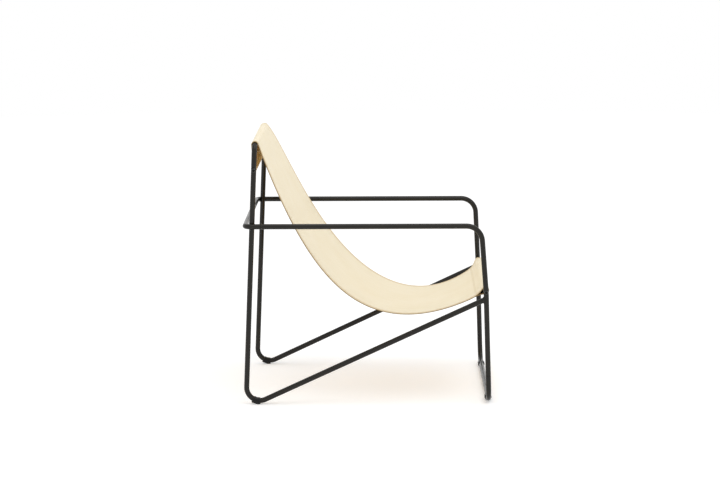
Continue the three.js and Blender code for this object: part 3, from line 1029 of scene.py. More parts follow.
    def build(self) -> None:
        """Builds every tube and weld, and finishes the spigots."""
        sizes = self.sizes
        self.tube("back_top_rail", sizes.top_rail_path(), back_joint=True)
        self.tube("rear_arm_bar", sizes.rear_bar_path())
        self.tube("front_floor_bar", sizes.floor_bar_path())
        for side in Side:
            leg = self.front_leg_station(side)
            self.tube(f"rear_leg_{side.label}", sizes.rear_leg_path(side), leg, back_joint=True)
            self.tube(f"armrest_{side.label}", sizes.arm_path(side))
            self.brace_weld(side)
            self.arm_weld(side)
            for joint in ("back", "arm", "floor"):
                self.refinish(f"{joint}_spigot_{side.label}", DRAWN_STEEL)


@dataclass
class SlingRails(Assembly):
    """The removable seat rail and hem rod that carry the sling, with their bolts, washers and plugs."""

    sizes: FrameSizes
    frame: TubeFrame
    head: float = 0.005
    head_height: float = 0.0024
    lip: float = 0.0003
    rim: float = 0.0008
    crown: float = 0.0032
    crown_steps: int = 8
    shank: float = 0.003
    key: float = 0.004
    key_depth: float = 0.0016
    key_bevel: float = 0.0005
    key_bevel_depth: float = 0.00025
    key_point: float = 0.0004
    washer: float = 0.0055
    washer_thickness: float = 0.001
    washer_bevel: float = 0.0002
    engagement: float = 0.016
    tapped: float = 0.022
    rod_chamfer: float = 0.0004
    drill_point: float = 0.0015
    segments: int = 48
    sharp: float = 35.0

    def hexagon(self, height: float, size: float) -> list[tuple[float, float]]:
        """Outlines the key socket at one height.

        Args:
            height: Height over the face under the head.
            size: Width across the socket's flats.

        Returns:
            Radius and height of each point.
        """
        made = []
        for i in range(self.segments):
            angle = (2 * math.pi * i / self.segments) % (math.pi / 3) - math.pi / 6
            made.append((size / 2 / math.cos(angle), height))
        return made

    def bolt(self, name: str, seat: Vector, out: Vector, length: float) -> None:
        """Builds a button-head bolt with a hexagon socket.

        Args:
            name: CAD node that it stands for.
            seat: Centre of the face under its head.
            out: Direction from the leg towards its head.
            length: Length below the head.
        """
        up, top, lip = out.cross(AXIS_X), self.head_height, self.lip
        plain = [(self.shank - lip, -length), (self.shank, lip - length), (self.shank, 0.0)]
        plain += [(self.head - lip, 0.0), (self.head, lip), (self.head, self.rim)]
        for i in range(1, self.crown_steps + 1):
            angle = math.pi / 2 * i / self.crown_steps
            rise = self.rim + (top - self.rim) * math.sin(angle)
            plain.append((self.crown + (self.head - self.crown) * math.cos(angle), rise))
        profile = [[spot] * self.segments for spot in plain]
        profile.append(self.hexagon(top, self.key + self.key_bevel))
        profile.append(self.hexagon(top - self.key_bevel_depth, self.key))
        profile.append(self.hexagon(top - self.key_depth, self.key))
        shape = Shape()
        rings = []
        for spots in profile:
            points = []
            for i, (radius, height) in enumerate(spots):
                angle = 2 * math.pi * i / self.segments
                spoke = AXIS_X * (radius * math.cos(angle)) + up * (radius * math.sin(angle))
                points.append(seat + out * height + spoke)
            rings.append(shape.ring(points))
        shape.skin(rings)
        shape.cap(list(reversed(rings[0])), seat - out * length)
        shape.cap(rings[-1], seat + out * (top - self.key_depth - self.key_point))
        self.fit(shape.piece(f"{name}_button_head", [BLACK_OXIDE], self.sharp), Slot.FASTENER, name)

    def saddle(self, name: str, leg: Vector, out: Vector, lean: float) -> None:
        """Builds a washer whose back is hollowed to the leg.

        Args:
            name: CAD node that it stands for.
            leg: Point on the leg's axis at the bolt.
            out: Direction from the leg towards the bolt's head.
            lean: Lean of the leg in degrees.
        """
        across = Vector((math.cos(math.radians(lean)), 0.0, -math.sin(math.radians(lean))))
        hollow = self.sizes.radius + self.sizes.gap
        face, bevel = self.sizes.radius + self.washer_thickness, self.washer_bevel
        hole = self.shank + self.sizes.gap
        outline = [(hole, None), (hole, face), (self.washer - bevel, face)]
        outline += [(self.washer, face - bevel), (self.washer, None)]
        shape = Shape()
        rings = []
        for radius, height in outline:
            placed = []
            for point in circle(leg, AXIS_X, AXIS_Z, radius, self.segments):
                offset = (point - leg).dot(across)
                rise = math.sqrt(hollow ** 2 - offset ** 2) if height is None else height
                placed.append(point + out * rise)
            rings.append(shape.ring(placed))
        shape.skin(rings + rings[:1])
        self.fit(shape.piece(f"{name}_saddle", [GREY_PHOSPHATE], self.sharp), Slot.FASTENER, name)

    def rod(self, name: str, axis: Vector, end: float) -> None:
        """Builds a solid rod with a tapped hole in each end.

        Args:
            name: CAD node that it stands for.
            axis: Middle of the rod.
            end: Half of its length.
        """
        radius, hole, cut = self.sizes.back_rod / 2, self.shank + self.sizes.gap, self.rod_chamfer
        half = [(self.tapped, hole), (cut, hole), (0.0, hole + cut), (0.0, radius - cut), (cut, radius)]
        plan = [(end - depth, size) for depth, size in half]
        plan += [(depth - end, size) for depth, size in reversed(half)]
        shape = Shape()
        rings = []
        for y, size in plan:
            rings.append(shape.ring(circle(axis + AXIS_Y * y, AXIS_X, AXIS_Z, size, self.segments)))
        shape.skin(rings)
        drill = AXIS_Y * (end - self.tapped - self.drill_point)
        shape.cap(list(reversed(rings[0])), axis + drill)
        shape.cap(rings[-1], axis - drill)
        self.fit(shape.piece(f"{name}_rod", [POWDER_COAT], self.sharp), Slot.COAT, name)

    def fasteners(self, name: str, axis: Vector, leg_y: float, lean: float) -> None:
        """Builds the bolts and washers at both ends of a rail.

        Args:
            name: First words of their CAD nodes.
            axis: Middle of the rail.
            leg_y: Y of the legs that it stands between.
            lean: Lean of those legs in degrees.
        """
        end = leg_y - self.sizes.radius - self.sizes.gap
        under = leg_y + self.sizes.radius + self.washer_thickness + self.sizes.gap
        for side in Side:
            out = AXIS_Y * side.value
            self.bolt(f"{name}_bolt_{side.label}", axis + out * under, out, under - end + self.engagement)
            self.saddle(f"{name}_washer_{side.label}", axis + out * leg_y, out, lean)

    def build(self) -> None:
        """Builds the front seat rail, the back hem's rod and their fasteners."""
        sizes = self.sizes
        short = sizes.radius + sizes.gap
        seat = Vector((sizes.front_leg(sizes.seat_rail_height), 0.0, sizes.seat_rail_height))
        back = Vector((sizes.rear_leg(sizes.sling_rail_height), 0.0, sizes.sling_rail_height))
        ends = [seat + AXIS_Y * y for y in (sizes.arm_y - short, 0.0, short - sizes.arm_y)]
        self.frame.tube("front_seat_rail", [Station(point, -AXIS_Y) for point in ends])
        for side in Side:
            self.refinish(f"front_seat_insert_{side.label}", DRAWN_STEEL)
        self.rod("back_sling_rail", back, sizes.rear_leg_y - short)
        knee = (sizes.front_lean + sizes.front_upper_lean) / 2
        self.fasteners("front_seat", seat, sizes.arm_y, knee)
        self.fasteners("back_sling", back, sizes.rear_leg_y, sizes.rear_lean)


@dataclass(frozen=True)
class Sole:
    """Flat sole of a glide: its front, the direction back from it, and whether it also rises in front."""

    front: Vector
    back: Vector
    toe: bool


@dataclass
class FloorGlides(Assembly):
    """Plastic glides: sleeves clipped round the tubes and open along their tops, each with a flat sole."""

    sizes: FrameSizes
    wall: float = 0.0025
    slot: float = 0.009
    length: float = 0.024
    length_steps: int = 16
    arc: float = 33.0
    sole: float = 0.010
    sole_half: float = 0.006
    sole_blend: float = 0.0012
    heel: float = 0.007
    heel_rise: float = 0.0026
    inset: float = 0.008
    lip: float = 0.0005
    thin: float = 0.7
    thin_arc: float = 65.0
    steps: int = 48
    sharp: float = 38.0

    def section(self, station: Station, up: Vector, size: float,
                hollow: float) -> tuple[list[Vector], list[Vector]]:
        """Outer and inner line of the open sleeve at one station.

        Args:
            station: Place on the tube's axis.
            up: Direction of the slot.
            size: Outer radius.
            hollow: Inner radius.

        Returns:
            Points from one lip round the bottom to the other lip, outside and inside.
        """
        side = station.tangent.cross(up)
        gap = math.asin(self.slot / 2 / hollow)
        outside, inside = [], []
        for i in range(self.steps + 1):
            angle = gap + (2 * math.pi - 2 * gap) * i / self.steps
            spoke = side * math.sin(angle) + up * math.cos(angle)
            from_lip = min(angle, 2 * math.pi - angle) - gap
            full = ease(min(from_lip / math.radians(self.thin_arc), 1.0))
            thick = (size - hollow) * (self.thin + (1 - self.thin) * full)
            outside.append(station.point + spoke * (hollow + thick))
            inside.append(station.point + spoke * hollow)
        return outside, inside

    def flatten(self, point: Vector, sole: Sole, rim: float) -> Vector:
        """Draws a point of the sleeve's underside down to the sole.

        Args:
            point: Point on the sleeve.
            sole: Sole of the glide.
            rim: Bevel at the sleeve's ends.

        Returns:
            The point, moved down where the sole is.
        """
        if point.z > self.sizes.foot_height:
            return point.copy()
        offset = point - sole.front
        along = offset.dot(sole.back)
        across = offset - sole.back * along
        across.z = 0.0
        within = self.sole_half + self.sole_blend / 2 - across.length
        past = max(along - self.sole, -along if sole.toe else 0.0, 0.0)
        low = min(point.z, self.heel_rise * past / self.heel + rim)
        share = ease(min(max(within / self.sole_blend, 0.0), 1.0))
        return Vector((point.x, point.y, point.z + (low - point.z) * share))

    def clip(self, name: str, covered: list[Station], slots: list[Vector], sole: Sole) -> None:
        """Builds one glide.

        Args:
            name: CAD node that it stands for.
            covered: Stations of the tube's axis that the sleeve covers.
            slots: Direction of the slot at each station.
            sole: Sole of the glide.
        """
        self.bevel(covered, slots)
        hollow = self.sizes.radius + self.sizes.gap
        outer = hollow + self.wall
        last = len(covered) - 1
        shape = Shape()
        rings = []
        for i, (station, up) in enumerate(zip(covered, slots)):
            rim = self.lip if i in (0, last) else 0.0
            skin, bore = self.section(station, up, outer - rim, hollow + rim / 2)
            pulled = [self.flatten(point, sole, rim) for point in skin]
            rings.append(shape.ring(pulled + list(reversed(bore))))
        shape.skin(rings)
        count = 2 * (self.steps + 1)
        for ring, flip in ((rings[0], True), (rings[-1], False)):
            for i in range(self.steps):
                shape.face((ring[i], ring[i + 1], ring[count - 2 - i], ring[count - 1 - i]), flip=flip)
        self.fit(shape.piece(f"{name}_clip", [GLIDE_PLASTIC], self.sharp), Slot.GLIDE, name)

    def rear(self, side: Side) -> None:
        """Builds the glide that follows one rear foot's bend.

        Args:
            side: Side of the chair.
        """
        bend = self.sizes.rear_leg_path(side)[1:-1]
        lowest = min(range(len(bend)), key=lambda i: bend[i].point.z)
        covered = bend[lowest - round(self.arc / BEND_STEP):lowest + 1]
        centre = self.sizes.rear_foot_centre()
        slots = []
        for station in covered:
            inward = Vector((centre.x, station.point.y, centre.y)) - station.point
            slots.append((inward - station.tangent * inward.dot(station.tangent)).normalized())
        toe = bend[lowest].point
        sole = Sole(front=Vector((toe.x, toe.y, 0.0)), back=-AXIS_X, toe=False)
        self.clip(f"rear_glide_{side.label}", covered, slots, sole)

    def front(self, side: Side) -> None:
        """Builds a glide under one end of the floor bar.

        Args:
            side: Side of the chair.
        """
        sizes = self.sizes
        middle = sizes.arm_y - sizes.floor_bar_bend - self.inset - self.length / 2
        x, z = sizes.front_leg(sizes.foot_height), sizes.foot_height
        out = AXIS_Y * side.value
        covered = []
        for i in range(self.length_steps + 1):
            y = middle + self.length * (i / self.length_steps - 0.5)
            covered.append(Station(Vector((x, side.value * y, z)), out.copy()))
        slots = [AXIS_Z.copy() for _ in covered]
        flat = Vector((x, side.value * (middle + self.sole / 2), 0.0))
        self.clip(f"front_glide_{side.label}", covered, slots, Sole(front=flat, back=-out, toe=True))

    def bevel(self, covered: list[Station], slots: list[Vector]) -> None:
        """Adds a station a little inside each end, for the bevelled rims.

        Args:
            covered: Stations that the sleeve covers.
            slots: Direction of the slot at each station.
        """
        last = len(covered) - 1
        for end, inner, sign in ((0, 1, 1), (last, last, -1)):
            edge = covered[end]
            inside = edge.point + edge.tangent * (sign * self.lip)
            covered.insert(inner, Station(inside, edge.tangent.copy()))
            slots.insert(inner, slots[end].copy())

    def build(self) -> None:
        """Builds the four glides."""
        for side in Side:
            self.rear(side)
            self.front(side)


@dataclass(frozen=True)
class EdgeCurve:
    """Side curve of the sling along one edge, its front seam and its slack, in degrees and metres.

    The seam lies back and down from the seat rail, lifted off the curve's own end.
    """

    leave: float
    leave_reach: float
    depth: float
    arrive: float
    arrive_reach: float
    seam_back: float
    seam_drop: float
    seam_lift: float = 0.0
    fold_slack: float = 0.0
    nose_slack: float = 0.0


SectionLoop = list[tuple[float, float, SheetFace]]
Stretches = list[tuple[str, np.ndarray]]


def heading(degrees: float) -> np.ndarray:
    """Unit direction in X and Z at an angle from +X."""
    return np.array([math.cos(math.radians(degrees)), math.sin(math.radians(degrees))])


def even_points(first: np.ndarray, last: np.ndarray, count: int) -> np.ndarray:
    """Evenly spaced points from one point up to, but not including, another."""
    return first + (last - first) * np.linspace(0.0, 1.0, count, endpoint=False)[:, None]


def distances(line: np.ndarray) -> np.ndarray:
    """Distance along a line of each of its points."""
    return np.concatenate([[0.0], np.cumsum(np.hypot(*np.diff(line, axis=0).T))])


def points_at(line: np.ndarray, places: np.ndarray | float) -> np.ndarray:
    """Points of a line at given distances along it."""
    length = distances(line)
    return np.stack([np.interp(places, length, line[:, k]) for k in (0, 1)], axis=-1)


def bell(value: np.ndarray, spread: float) -> np.ndarray:
    """Bell curve that is 1 where the value is 0."""
    return np.exp(-(value / spread) ** 2)


@dataclass(frozen=True)
class SheetRelief:
    """Small moves of the sheet off its smooth curve, in metres.

    Sag, waves and wrinkles fade towards both ends of the free span. The numbers inside the sines
    only set the length of the waves and where they lie.
    """

    fade_power: float = 0.8
    sag: float = 0.0022
    wave: float = 0.0011
    wrinkle: float = 0.0006
    wrinkle_share: float = 0.78
    wrinkle_spread: float = 0.16
    gather: float = 0.0004
    gather_start: float = 0.004
    gather_spread: float = 0.018
    gather_swell: float = 0.45
    gather_middle: float = 0.25
    crease: float = 0.00035
    crease_inset: float = 0.010
    crease_spread: float = 0.0007
    groove: float = 0.00014
    groove_spread: float = 0.0011

    def slack(self, s: np.ndarray, a: np.ndarray, free: np.ndarray, half: float) -> np.ndarray:
        """Sag, waves and wrinkles of the free span.

        Args:
            s: Distance along the sheet of each station.
            a: Place across the sheet of each column.
            free: Share of the free span passed at each station.
            half: Half of the sheet's width.

        Returns:
            Move along the normal for every station and column.
        """
        fade = np.sin(np.pi * free) ** self.fade_power
        inward = fade * (1 - (a / half) ** 4)
        sag = -self.sag * (1 - (a / half) ** 2) * fade
        wave = self.wave * inward * np.sin(9.0 * s + 7.0 * a + 0.6) * np.sin(11.0 * a + 1.3)
        wrinkle = self.wrinkle * inward * np.sin(31.0 * a + 5.0 * s)
        return sag + wave + wrinkle * bell(free - self.wrinkle_share, self.wrinkle_spread)

    def gathers(self, past: np.ndarray, a: np.ndarray, half: float) -> np.ndarray:
        """Fine gathers below the top rail, strongest at the sides.

        Args:
            past: Distance past the top rail of each station.
            a: Place across the sheet of each column.
            half: Half of the sheet's width.

        Returns:
            Move along the normal for every station and column.
        """
        swell = 1 - self.gather_swell + self.gather_swell * np.sin(23.0 * a + 0.8)
        ripple = np.sin(410.0 * a + 3.0 * np.sin(37.0 * a)) * swell
        sides = self.gather_middle + (1 - self.gather_middle) * (a / half) ** 2
        return self.gather * bell(past - self.gather_start, self.gather_spread) * ripple * sides


class Seam(Enum):
    """A tunnel's seam: the mark it starts from and the way its rows lie from there, on each face."""

    FRONT = (("nose_rise", -1), ("tail", 1))
    REAR = (("flap", 1), ("hem_rise", -1))


@dataclass(frozen=True)
class Stitching:
    """Rows of stitches along a seam: sizes in metres, and the bow of a stitch in thread radii."""

    rows: tuple[float, ...] = (0.0035, 0.0075)
    pitch: float = 0.006
    side_inset: float = 0.006
    thread: float = 0.00042
    half_share: float = 0.4
    slant: float = 0.00035
    rise: float = 0.75
    dip: float = 1.75
    taper: float = 0.35
    steps: int = 7
    sides: int = 6
    sharp: float = 60.0

    def add(self, shape: Shape, across: np.ndarray, line: np.ndarray, normals: np.ndarray,
            middle: float) -> None:
        """Adds one stitch, bowed over the leather with both ends sunk in it.

        Args:
            shape: Shape that gathers the stitches.
            across: Place across the sheet of the points below.
            line: Points of the row on the leather.
            normals: Outward directions along the row.
            middle: Place across the sheet of the stitch's middle.
        """
        rings = []
        half = self.pitch * self.half_share
        for t in np.linspace(-1.0, 1.0, self.steps):
            spot = middle + half * t
            base = Vector([float(np.interp(spot, across, line[:, k])) for k in range(3)])
            up = Vector([float(np.interp(spot, across, normals[:, k])) for k in range(3)]).normalized()
            side = up.cross(AXIS_Y)
            height = self.thread * (self.rise - self.dip * t * t)
            size = self.thread * (1 - self.taper * t * t)
            centre = base + up * height + side * (self.slant * t)
            rings.append(shape.ring(circle(centre, up, side, size, self.sides)))
        shape.skin(rings)
        for ring, flip in ((rings[0], True), (rings[-1], False)):
            centre = sum((shape.points[i] for i in ring), Vector()) / len(ring)
            shape.cap(list(reversed(ring)) if flip else ring, centre)


@dataclass
class LeatherSling(Assembly):
    """One sheet of leather with a stitched tunnel at each end, slung over the top rail."""

    sizes: FrameSizes
    thickness: float = 0.0025
    side_gap: float = 0.008
    hem_seam_rise: float = 0.020
    margin: float = 0.010
    skive: float = 0.8
    ply_gap: float = 0.00015
    right: EdgeCurve = EdgeCurve(
        leave=70.3, leave_reach=0.3891, depth=0.2072, arrive=26.0, arrive_reach=0.383,
        seam_back=0.0232, seam_drop=0.0137, seam_lift=0.0026,
    )
    left: EdgeCurve = EdgeCurve(
        leave=49.6, leave_reach=0.1121, depth=0.2637, arrive=36.9, arrive_reach=0.3052,
        seam_back=0.0187, seam_drop=0.0195, seam_lift=0.002, fold_slack=0.004, nose_slack=0.0045,
    )
    relief: SheetRelief = SheetRelief()
    stitching: Stitching = Stitching()
    lift_reach: float = 0.034
    slack_start: float = 115.0
    slack_turn: float = 60.0
    seam_round: float = 0.012
    hem_round: float = 0.003
    tail_round: float = 0.004
    curve_steps: int = 1200
    span_steps: int = 190
    close_reach: float = 0.036
    close_steps: int = 33
    hem_steps: int = 26
    hem_back_steps: int = 12
    fold_steps: int = 30
    nose_steps: int = 34
    rise_steps: int = 10
    margin_steps: int = 14
    edge_round: float = 0.0009
    edge_turns: tuple[float, ...] = (30.0, 60.0, 90.0)
    edge_columns: tuple[float, ...] = (
        0.0024, 0.0042, 0.0066, 0.0086, 0.0093, 0.01, 0.0107, 0.0114, 0.0134, 0.017, 0.022, 0.028,
    )
    middle_inset: float = 0.036
    middle_columns: int = 44
    sharp: float = 60.0
    marks: dict[str, int] = field(default_factory=dict)

    @property
    def half_width(self) -> float:
        """Half of the sheet's width."""
        return self.sizes.rear_leg_y - self.sizes.radius - self.side_gap

    @property
    def wrap(self) -> float:
        """Radius of the sheet's middle line round a tube."""
        return self.sizes.radius + self.sizes.gap + self.thickness / 2

    @property
    def hem_wrap(self) -> float:
        """Radius of the sheet's middle line round the hem's rod."""
        return self.sizes.back_rod / 2 + self.sizes.gap + self.thickness / 2

    @property
    def ply(self) -> float:
        """Distance between the middle lines of two plies that lie on each other."""
        return self.thickness + self.ply_gap

    def wrap_angles(self, axis: np.ndarray, apex: np.ndarray, radius: float) -> tuple[float, float]:
        """Angles of the two lines from an apex that touch the wrap circle.

        Args:
            axis: Axis of the rail.
            apex: Point of the seam.
            radius: Radius of the wrap.

        Returns:
            The angles of the touching points, larger first, in radians.
        """
        reach = axis - apex
        aim = math.atan2(reach[1], reach[0])
        half = math.asin(radius / math.hypot(*reach))
        return aim + math.pi / 2 + half, aim - math.pi / 2 - half

    def arc(self, axis: np.ndarray, radius: float, turn: tuple[float, float], count: int) -> np.ndarray:
        """Points round a rail, from one angle to another."""
        angles = np.linspace(*turn, count)
        return axis + radius * np.stack([np.cos(angles), np.sin(angles)], axis=1)

    def soften(self, line: np.ndarray, corner: int, reach: float) -> np.ndarray:
        """Rounds one corner of a line without changing how many points it has.

        Args:
            line: Points of the line.
            corner: Number of the corner's point.
            reach: Length of line on each side that takes part.

        Returns:
            The line with its corner rounded.
        """
        length = distances(line)
        place = length[corner]
        near = np.abs(length - place) < reach
        share = np.clip((length - place + reach) / (2 * reach), 0.0, 1.0)[:, None]
        before, after = points_at(line, place - reach), points_at(line, place + reach)
        bend = (1 - share) ** 2 * before + 2 * share * (1 - share) * line[corner] + share ** 2 * after
        return np.where(near[:, None], bend, line)

    def span(self, leave: np.ndarray, seam: np.ndarray, edge: EdgeCurve) -> np.ndarray:
        """Free curve of the sheet from the top rail to the front seam.

        Args:
            leave: Point where the sheet leaves the top rail.
            seam: Point of the front seam.
            edge: Side curve of this edge.

        Returns:
            Points closer together near the seam, with the seam as the last one.
        """
        end = seam - np.array([0.0, edge.seam_lift])
        chord = end - leave
        below = np.array([chord[1], -chord[0]]) / math.hypot(*chord)
        guides = [
            leave, leave + heading(-edge.leave) * edge.leave_reach, leave + chord / 2 + below * edge.depth,
            end - heading(edge.arrive) * edge.arrive_reach, end,
        ]
        t = np.linspace(0.0, 1.0, self.curve_steps)[:, None]
        weights = (1, 4, 6, 4, 1)
        fine = sum(w * t ** k * (1 - t) ** (4 - k) * g for k, (w, g) in enumerate(zip(weights, guides)))
        length = distances(fine)[-1]
        places = np.concatenate([
            np.linspace(0.0, length - self.close_reach, self.span_steps, endpoint=False),
            np.linspace(length - self.close_reach, length, self.close_steps),
        ])
        points = points_at(fine, places)
        near = np.clip(1 - (length - places) / self.lift_reach, 0.0, 1.0)
        points[:, 1] += edge.seam_lift * near ** 2
        return points

    def line(self, edge: EdgeCurve) -> np.ndarray:
        """Middle line of the sheet along one edge.

        Args:
            edge: Side curve of this edge.

        Returns:
            Points from the rear hem's free margin to the front tunnel's free margin.
        """
        rear, leave = self.rear_parts(edge)
        parts = rear + self.front_parts(edge, leave)
        count = 0
        for title, points in parts:
            self.marks[title] = count
            count += len(points)
        line = np.concatenate([points for _, points in parts])
        for bend, reach in (("hem_rise", self.hem_round), ("tail", self.tail_round)):
            line = self.soften(line, self.marks[bend], reach)
        return line

    def rear_parts(self, edge: EdgeCurve) -> tuple[Stretches, np.ndarray]:
        """Lays the line from the hem's free margin over the top rail.

        Args:
            edge: Side curve of this edge.

        Returns:
            The line's stretches, and the point where the sheet leaves the top rail.
        """
        sizes = self.sizes
        top = np.array([sizes.rear_leg(sizes.top_rail_height), sizes.top_rail_height])
        back = np.array([sizes.rear_leg(sizes.sling_rail_height), sizes.sling_rail_height])
        tilt = math.degrees(math.asin((self.wrap - self.hem_wrap) / math.hypot(*(top - back))))
        up = heading(90 - sizes.rear_lean - tilt)
        rear = np.array([-up[1], up[0]])
        hem = back + rear * self.hem_wrap + up * self.hem_seam_rise
        flap = hem + up * self.margin
        inner = hem - rear * self.ply
        first = math.atan2(rear[1], rear[0])
        start, _ = self.wrap_angles(back, inner, self.hem_wrap)
        hem_arc = self.arc(back, self.hem_wrap, (start, first - 2 * math.pi), self.hem_steps)
        turn = (first, math.radians(90 - edge.leave))
        over = self.arc(top, self.wrap, turn, self.fold_steps)
        rearward = np.clip(-np.cos(np.linspace(*turn, self.fold_steps)), 0.0, 1.0)
        over[:, 0] -= edge.fold_slack * rearward
        parts = [
            ("hem_margin", even_points(inner + up * self.margin, inner, self.margin_steps)),
            ("hem_rise", even_points(inner, hem_arc[0], self.rise_steps)),
            ("hem_arc", hem_arc[:-1]),
            ("hem_back", even_points(hem_arc[-1], hem, self.hem_back_steps)),
            ("flap", even_points(hem, flap, self.margin_steps)),
            ("flap_top", even_points(flap, over[0], self.rise_steps)),
            ("fold", over[:-1]),
        ]
        return parts, over[-1]

    def front_parts(self, edge: EdgeCurve, leave: np.ndarray) -> Stretches:
        """Lays the line from the top rail to the front tunnel's free margin.

        Args:
            edge: Side curve of this edge.
            leave: Point where the sheet leaves the top rail.

        Returns:
            The line's stretches.
        """
        sizes = self.sizes
        seat = np.array([sizes.front_leg(sizes.seat_rail_height), sizes.seat_rail_height])
        seam = seat - np.array([edge.seam_back, edge.seam_drop])
        free = self.span(leave, seam, edge)
        upper, _ = self.wrap_angles(seat, seam, self.wrap)
        rise = even_points(seam, self.arc(seat, self.wrap, (upper, upper), 1)[0], self.rise_steps)
        corner = len(free) - 1
        joined = self.soften(np.concatenate([free[:-1], rise]), corner, self.seam_round)
        free, rise = joined[:corner + 1], joined[corner:]
        along = free[-1] - free[-3]
        below = np.array([along[1], -along[0]]) / math.hypot(*along)
        under = free[-1] + below * self.ply
        _, lower = self.wrap_angles(seat, under, self.wrap)
        nose = self.arc(seat, self.wrap, (upper, lower), self.nose_steps)
        turned = np.degrees(np.linspace(upper, lower, self.nose_steps))
        loose = ease(np.clip((self.slack_start - turned) / self.slack_turn, 0.0, 1.0))
        nose[:, 0] += edge.nose_slack * loose
        return [
            ("span", free[:-1]),
            ("nose_rise", rise),
            ("nose", nose[:-1]),
            ("nose_under", even_points(nose[-1], under, self.rise_steps)),
            ("tail", self.tail(free)),
        ]

    def tail(self, free: np.ndarray) -> np.ndarray:
        """Lays the front margin: the seat's last stretch, followed back on its underside.

        Args:
            free: Points of the free span.

        Returns:
            Points from under the seam to the margin's free end.
        """
        points = points_at(free[::-1], np.linspace(0.0, self.margin, self.margin_steps + 1))
        along = np.gradient(points, axis=0)
        along /= np.hypot(along[:, 0], along[:, 1])[:, None]
        return points + self.ply * np.stack([-along[:, 1], along[:, 0]], axis=1)

    def columns(self) -> SectionLoop:
        """Lays the columns of points round the sheet's section.

        Returns:
            Place across, height off the middle line and following face of each column.
        """
        half, thick, soft = self.half_width, self.thickness / 2, self.edge_round
        near = (soft, *self.edge_columns)
        middle = half - self.middle_inset
        inner = list(np.linspace(middle, -middle, self.middle_columns))
        across = [half - d for d in near] + inner + [d - half for d in reversed(near)]
        loop = [(-a, thick, SheetFace.GRAIN) for a in across]
        turn = [math.radians(degrees) for degrees in self.edge_turns]
        corner = [(half - soft + soft * math.sin(t), thick - soft + soft * math.cos(t)) for t in turn]
        edge = corner + [(a, -h) for a, h in reversed(corner)]
        loop[-1] = (loop[-1][0], loop[-1][1], SheetFace.EDGE)
        loop += [(a, h, SheetFace.EDGE) for a, h in edge]
        loop += [(a, -thick, SheetFace.FLESH) for a in across]
        loop[-1] = (loop[-1][0], loop[-1][1], SheetFace.EDGE)
        loop += [(-a, h, SheetFace.EDGE) for a, h in reversed(edge)]
        return loop

    def moves(self, place: np.ndarray, across: np.ndarray, outer: bool) -> np.ndarray:
        """Small moves of the sheet off its middle line: slack, wrinkles, creased lines and stitch rows.

        Args:
            place: Distance along the sheet of each station.
            across: Place across the sheet of each column.
            outer: Whether the points are on the grain side.

        Returns:
            Move along the normal for every station and column.
        """
        s, a = place[:, None], across[None, :]
        form, half = self.relief, self.half_width
        top, seam = place[self.marks["span"]], place[self.marks["nose_rise"]]
        free = np.clip((s - top) / (seam - top), 0.0, 1.0)
        move = form.slack(s, a, free, half) + form.gathers(s - top, a, half)
        if outer:
            move = move - form.crease * bell(half - np.abs(a) - form.crease_inset, form.crease_spread)
            for row in self.stitching.rows:
                for mark, sign in (*Seam.FRONT.value, *Seam.REAR.value):
                    centre = place[self.marks[mark]] + sign * row
                    move = move - form.groove * bell(s - centre, form.groove_spread)
        return move

    def surface(self, line_right: np.ndarray, line_left: np.ndarray,
                loop: SectionLoop) -> tuple[np.ndarray, np.ndarray]:
        """Places every point of the sheet.

        Args:
            line_right: Middle line along the right edge.
            line_left: Middle line along the left edge.
            loop: Section's loop.

        Returns:
            Points by station and column, and the distance along the sheet of each station.
        """
        across = np.array([spot[0] for spot in loop])
        height = np.array([spot[1] for spot in loop])
        share = ((across + self.half_width) / (2 * self.half_width))[None, :, None]
        middle = line_right[:, None, :] * (1 - share) + line_left[:, None, :] * share
        along = np.gradient(middle, axis=0)
        along /= np.linalg.norm(along, axis=2, keepdims=True)
        normal = np.stack([-along[:, :, 1], along[:, :, 0]], axis=2)
        centre = (line_right + line_left) / 2
        place = distances(centre)
        outer = self.moves(place, across, True)
        inner = self.moves(place, across, False)
        ends = np.maximum(1 - place / self.margin, 1 - (place[-1] - place) / self.margin)
        full = 1 - self.skive * np.clip(ends, 0.0, 1.0)[:, None]
        body = (height[None, :] + self.thickness / 2) * full - self.thickness / 2
        move = np.where(height[None, :] > 0, outer, inner) + body
        flat = middle + normal * move[:, :, None]
        across = np.broadcast_to(across[None, :], flat.shape[:2])
        return np.stack([flat[:, :, 0], across, flat[:, :, 1]], axis=2), place

    def sheet(self) -> tuple[bpy.types.Object, np.ndarray, np.ndarray, SectionLoop]:
        """Builds the sheet as one closed mesh with its own flat coordinates.

        Returns:
            The sheet, its points, the distance along it of each station, and its section's loop.
        """
        loop = self.columns()
        points, place = self.surface(self.line(self.right), self.line(self.left), loop)
        rows, width = points.shape[:2]
        shape = Shape()
        rings = [shape.ring([Vector(p) for p in row]) for row in points]
        shape.skin(rings, [spot[2].value for spot in loop])
        top = [i for i in range(width) if loop[i][1] == self.thickness / 2]
        low = [i for i in range(width) if loop[i][1] == -self.thickness / 2][::-1]
        for ring, flip in ((rings[0], True), (rings[-1], False)):
            self.close_end(shape, ring, top, low, flip)
        finishes = [GRAIN_LEATHER, FLESH_LEATHER, CUT_EDGE]
        sheet = shape.piece("leather_sling_sheet", finishes, self.sharp)
        uv = sheet.data.uv_layers.new(name=SHEET_MAP)
        flat = np.array([(loop[i % width][0], place[i // width]) for i in range(rows * width)])
        order = np.empty(len(sheet.data.loops), dtype=np.int64)
        sheet.data.loops.foreach_get("vertex_index", order)
        uv.data.foreach_set("uv", flat[order].ravel())
        return sheet, points, place, loop

